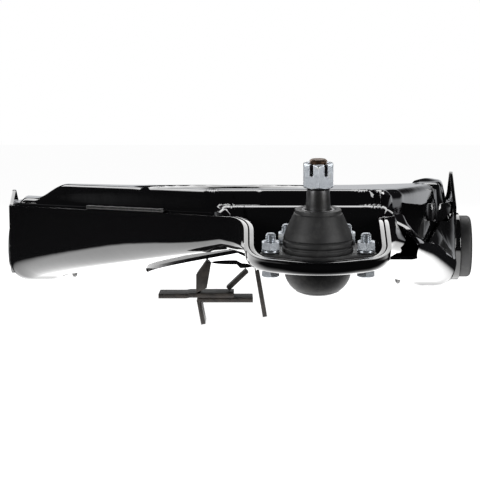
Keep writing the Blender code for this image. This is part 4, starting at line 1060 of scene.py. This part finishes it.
def stud_rings(sides=64):
    """Ball, neck, taper and thread, from the ball's pole up."""
    join = math.acos(0.007 / BALL_R)
    swing = np.linspace(-math.pi / 2 + 0.02, join, 40)
    profile = [(BALL_R * math.cos(a), BALL_H + BALL_R * math.sin(a)) for a in swing]
    profile += [(0.007, 0.016), (0.0072, 0.018), (0.0092, 0.0275), (TAPER_LOW_R - 0.0003, 0.0292)]
    profile += [(TAPER_LOW_R, 0.030), (TAPER_TOP_R, NUT_H - 0.0010), (TAPER_TOP_R - 0.0004, NUT_H - 0.0006)]
    radius, height = (np.array(profile)[:, k, None] for k in (0, 1))
    thread = threaded(THREAD_R, NUT_H, STUD_TOP_H, 0.00141, 0.0007, 300, sides)
    return np.concatenate([polar(radius, full_turn(sides).T, height), thread])


stud = ring_mesh("stud_turned", on_pad(stud_rings()))
fit_out(stud, machined_steel("stud_steel", 0.15, NUT_FOOT_Z), "stud", "dark_steel", "ball_stud")


def hex_radius(turn, flat):
    """Distance to the side of a hexagon in the direction of the turn."""
    off = np.mod(turn + math.pi / 6, math.pi / 3) - math.pi / 6
    return flat / 2 / np.cos(off)


def hex_nut(name, put, flat, bore, low, high, mouth=0.0):
    """A hexagonal ring. Its side is cut back at top and bottom by a 30 degree cone, which leaves the
    curved edges of a turned nut, and its bore opens out at either end."""
    turn = full_turn(120)
    face_r = flat / 2 * 0.97
    z = np.concatenate([np.linspace(low, low + 0.0016, 8), np.linspace(high - 0.0022, high, 9)])
    cone_top = face_r + (high - z) * math.tan(math.radians(60))
    cone_low = face_r + (z - low) * math.tan(math.radians(60))
    side = np.minimum(hex_radius(turn, flat), np.minimum(cone_top, cone_low)[None, :])
    lip = max(mouth, bore + 0.0005)
    ring_r = np.concatenate([side, np.broadcast_to([bore + 0.0005, bore, bore, lip], (120, 4))], axis=1)
    heights = np.concatenate([z, [high, high - 0.0005, low + lip - bore, low]])
    return ring_mesh(name, put(polar(ring_r, turn, heights)), joined=True, angle=22)


def bright_zinc():
    """Zinc plate with a pale blue passivation: fine crystals and patches of faint yellow."""
    look, nodes, place = new_finish("zinc_passivated")
    patch = noise(nodes, place, 130.0, 4.0, 0.6)
    crystal = noise(nodes, place, 1500.0, 3.0, 0.7)
    blue = blend_colour(nodes, crystal.ramp(0.35, 0.7), (0.40, 0.43, 0.47), (0.60, 0.63, 0.66))
    return wire(
        look,
        Base_Color=blend_colour(nodes, patch.ramp(0.60, 0.80) * 0.55, blue, (0.70, 0.66, 0.50)),
        Roughness=0.24 + crystal * 0.16 + patch * 0.06,
        Normal=bumped(nodes, (crystal, 0.000018), (noise(nodes, place, 260.0), 0.00006)),
        Metallic=0.92,
    )


ZINC = bright_zinc()
CASTLE_FLAT = 0.0222
CASTLE_LOW = NUT_H + 2 * FIT
CASTLE_TOP = CASTLE_LOW + 0.0185
CASTLE_SLOT = 0.003
CASTLE_MOUTH_R = 0.0096
castle = hex_nut("slotted_nut", on_pad, CASTLE_FLAT, THREAD_R + FIT, CASTLE_LOW, CASTLE_TOP, CASTLE_MOUTH_R)


def slot_cutter(name, turn):
    """A bar across the nut's top, with a half-round foot 9 mm down."""
    half = CASTLE_SLOT / 2
    foot = CASTLE_TOP - 0.009
    swing = np.linspace(math.pi, 2 * math.pi, 9)
    round_foot = np.column_stack([half * np.cos(swing), foot + half + half * np.sin(swing)])
    outline = np.concatenate([round_foot, [(half, foot + 0.014), (-half, foot + 0.014)]])
    across = np.array([math.cos(turn), math.sin(turn)])
    along = np.array([-math.sin(turn), math.cos(turn)])
    rings = []
    for reach in (-0.016, 0.016):
        flat = outline[:, :1] * across + reach * along
        rings.append(np.column_stack([flat, outline[:, 1]]))
    return ring_mesh(name, on_pad(np.array(rings)))


cut_holes(castle, [slot_cutter(f"slot_{k}", math.radians(60 * k + 30)) for k in range(3)])
fit_out(castle, ZINC, "stud", "zinc_plate", "castle_nut")

# Dust boot. Moulded rubber that stands on the flange, with a steel ring inside its neck: shallow grooves
# near the foot, a rolled neck, and a matte skin that shows dust and rubbing.
BOOT_FOOT = 2 * FIT + JOINT_FLANGE
BOOT_TOP = 0.037
boot_outside = rounded_path(
    [
        (0.02595, BOOT_FOOT, 0),
        (0.0270, BOOT_FOOT, 0.0003),
        (0.0270, BOOT_FOOT + 0.0024, 0.0005),
        (0.0260, BOOT_FOOT + 0.0033, 0.0004),
        (0.0260, BOOT_FOOT + 0.0043, 0.0004),
        (0.0270, BOOT_FOOT + 0.0052, 0.0006),
        (0.0268, BOOT_FOOT + 0.0078, 0.0006),
        (0.0257, BOOT_FOOT + 0.0088, 0.0004),
        (0.0263, BOOT_FOOT + 0.0100, 0.0006),
        (0.0246, BOOT_FOOT + 0.0150, 0.0080),
        (0.0203, BOOT_FOOT + 0.0245, 0.0120),
        (0.0186, BOOT_TOP - 0.0034, 0.0008),
        (0.0176, BOOT_TOP - 0.0028, 0.0004),
        (0.0178, BOOT_TOP, 0.0009),
        (0.01315, BOOT_TOP, 0.0004),
        (0.01315, BOOT_TOP - 0.0040, 0.0003),
        (0.0160, BOOT_TOP - 0.0050, 0.0010),
        (0.0220, BOOT_FOOT + 0.0150, 0.0100),
        (0.0246, BOOT_FOOT + 0.0060, 0.0010),
        (0.0259, 0.0096, 0.0003),
        (0.02595, BOOT_FOOT, 0),
    ],
    0.0008,
)[:-1]
boot = turned("boot_moulded", boot_outside, on_pad, 128)
boot.data.materials.append(moulded_rubber("boot_rubber", 0.017, 0.036))
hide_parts("dust_boot")
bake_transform(boot)
ring_band = band(TAPER_LOW_R + FIT, TAPER_LOW_R + FIT + 0.0025, BOOT_TOP - 0.004, BOOT_TOP)
ring = turned("boot_ring_turned", softened(ring_band), on_pad)
fit_out(ring, MACHINED, "stud_carrier", "dark_steel", "boot_collar")

# Ball joint bolts. Four zinc-plated M8 bolts from below, each with a split lock washer and a hex nut on
# top of the flange, and a few turns of thread showing above it.
BOLT_FLAT = 0.013
HEAD_TOP = -2 * SHEET - NEST - FIT
WASHER_LOW = 2 * FIT + JOINT_FLANGE
NUT_LOW = WASHER_LOW + 0.002 + FIT
NUT_TALL = 0.0065
TIP_H = NUT_LOW + NUT_TALL + 0.006


def at_spot(x, y):
    return lambda points: on_pad(points + np.array([x, y, 0.0]))


def hex_bolt(name, put):
    """Head with a coned underside edge, plain shank and rolled thread, from the head's foot up."""
    turn = full_turn(48).T
    low = HEAD_TOP - 0.0053
    z = np.concatenate([[low, low], np.linspace(low, low + 0.0012, 6), [HEAD_TOP, HEAD_TOP]])
    cone = 0.0063 + (z - low) * 1.7
    head = np.minimum(hex_radius(turn, BOLT_FLAT), cone[:, None])
    head[0] = 0.0004
    head[-1] = BOLT_R
    thread = threaded(BOLT_R, HEAD_TOP + 0.001, TIP_H, 0.00125, 0.0006, 220, 48)
    return ring_mesh(name, put(np.concatenate([polar(head, turn, z[:, None]), thread])), angle=25)


def split_washer(name, put):
    """A ring of square wire cut through and sprung, so that one end stands a little higher."""
    turn = np.linspace(0.06, 2 * math.pi - 0.06, 60)[:, None]
    lift = 0.0002 * (turn / math.pi - 1)
    inner, outer, low, high = BOLT_R + FIT, 0.0068, WASHER_LOW + 0.0002, WASHER_LOW + 0.0018
    start = ((inner + outer) / 2, low, 0)
    corners = [(r, h, 0.0002) for r, h in ((outer, low), (outer, high), (inner, high), (inner, low))]
    square = rounded_path([start, *corners, start], 0.0003)[:-1]
    return ring_mesh(name, put(polar(square[:, 0], turn, square[:, 1] + lift)))


for spot_name, (x, y) in BOLT_SPOTS.items():
    put = at_spot(x, y)
    fit_out(hex_bolt(f"hex_bolt_{spot_name}", put), ZINC, "arm", "zinc_plate", f"bolt_{spot_name}")
    washer = split_washer(f"split_washer_{spot_name}", put)
    fit_out(washer, ZINC, "arm", "zinc_plate", f"lock_washer_{spot_name}")
    nut = hex_nut(f"hex_nut_{spot_name}", put, BOLT_FLAT, BOLT_R + FIT, NUT_LOW, NUT_LOW + NUT_TALL)
    fit_out(nut, ZINC, "arm", "zinc_plate", f"nut_{spot_name}")

# Shock bracket. Strips of 3.5 mm steel, folded and welded together under the left leg: a tab, a leg, a
# clevis of two ears and a gusset. Thin satin black paint, brownish where the steel shows through.
BRACKET_SHEET = 0.0035
INBOARD = 0.130 - REACH
OUTBOARD = INBOARD - 0.050
TAB_Z = -0.024
TAB_UNDER = TAB_Z - BRACKET_SHEET
WEB = TAB_UNDER - FIT
EAR_LEFT_X = -0.034
EAR_RIGHT_X = 0.015
EAR_BOTTOM_Z = -0.049
EAR_HOLE_R = 0.0055
EAR_HOLE_Z = EAR_BOTTOM_Z + 0.011


def bracket_satin():
    """Thin satin black over hot-rolled steel, with the brown scale showing faintly through."""
    look, nodes, place = new_finish("bracket_satin_paint")
    scale = noise(nodes, place, 110.0, 7.0, 0.7)
    fleck = noise(nodes, place, 900.0, 4.0)
    return wire(
        look,
        Base_Color=blend_colour(nodes, scale.ramp(0.38, 0.68), (0.009, 0.007, 0.006), (0.026, 0.020, 0.016)),
        Roughness=0.34 + scale * 0.24,
        Normal=bumped(nodes, (scale, 0.00022), (fleck, 0.00004)),
    )


BRACKET_PAINT = bracket_satin()


def strip_outline(path):
    """A folded strip seen edge on: a polyline with rounded bends, and its copy one thickness to its left."""
    path = rounded_path([(*path[0], 0)] + [(*p, 0.002) for p in path[1:-1]] + [(*path[-1], 0)], 0.0005)
    way = np.diff(path, axis=0)
    unit = way / np.linalg.norm(way, axis=1, keepdims=True)
    way = np.concatenate([way[:1], unit[1:] + unit[:-1], way[-1:]])
    way /= np.linalg.norm(way, axis=1, keepdims=True)
    left = np.stack([-way[:, 1], way[:, 0]], axis=1)
    return np.concatenate([path, (path + BRACKET_SHEET * left)[::-1]])


def across_y(points):
    """From an outline in X and Z, pushed out along its own Z, to the arm's frame along -Y."""
    return np.stack([points[..., 0], -points[..., 2], points[..., 1]], axis=-1)


def bracket_piece(name, path, outboard, inboard, node, eared=False):
    """A strip folded along the path, between two places across its width. An ear has the bolt's hole."""
    piece = plate(name, strip_outline(path), -inboard, -outboard, across_y)
    if eared:
        middle = INBOARD - 0.025
        cut_holes(piece, [drill(EAR_HOLE_R, (-0.08, middle, EAR_HOLE_Z), (0.08, middle, EAR_HOLE_Z))])
    fit_out(piece, BRACKET_PAINT, "arm", "bracket_paint", node)


def under_arm(x, *places):
    return min(float(floor_height(np.array(x), np.array(y))) for y in places) - FIT


low_tab = TAB_UNDER - 0.0006
tab = [(-0.064, low_tab), (EAR_LEFT_X - 0.008, low_tab), (EAR_LEFT_X - 0.005, TAB_UNDER), (-0.004, TAB_UNDER)]
bracket_piece("tab_plate", tab, OUTBOARD, INBOARD, "shock_tab")
leg_top = under_arm(-0.026, OUTBOARD, INBOARD - 0.010) - BRACKET_SHEET * 0.6
leg = [(-0.026, leg_top), (-0.034, TAB_Z + 0.014), (-0.034, TAB_Z + FIT)]
bracket_piece("leg_strip", leg, OUTBOARD + 0.004, INBOARD - 0.010, "bracket_leg")
web_end = (EAR_RIGHT_X - BRACKET_SHEET - FIT, WEB)
clevis = [web_end, (EAR_LEFT_X, WEB), (EAR_LEFT_X + 0.004, EAR_BOTTOM_Z)]
bracket_piece("clevis_strip", clevis, OUTBOARD, INBOARD, "shock_clevis", eared=True)
ear_top = under_arm(EAR_RIGHT_X, OUTBOARD, INBOARD) - FIT
ear = [(EAR_RIGHT_X - BRACKET_SHEET, ear_top), (EAR_RIGHT_X + 0.004, EAR_BOTTOM_Z + 0.006)]
bracket_piece("ear_strip", ear, OUTBOARD, INBOARD, "shock_ear", eared=True)
# the leg's outboard edge is folded into a slanting, five-sided face
face = np.array(
    [
        (-0.0340, TAB_Z + FIT),
        (-0.0255, TAB_Z + 0.0042),
        (-0.0218, leg_top - 0.0005),
        (-0.0262, leg_top),
        (-0.0340, TAB_Z + 0.0150),
    ]
)
face_sides = [np.linspace(a, b, 12, endpoint=False) for a, b in zip(face, np.roll(face, -1, axis=0))]
face_low, face_high = -(OUTBOARD + 0.0038), -(OUTBOARD + 0.0006)
leg_face = plate("leg_face", np.concatenate(face_sides), face_low, face_high, across_y)
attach(leg_face, "arm")
leg_face.data.materials.append(BRACKET_PAINT)
gusset = [(EAR_RIGHT_X - BRACKET_SHEET - 0.0062, ear_top - 0.006), (-0.010, TAB_Z + FIT + BRACKET_SHEET)]
bracket_piece("gusset_strip", gusset, OUTBOARD + 0.012, INBOARD - 0.014, "bracket_gusset")
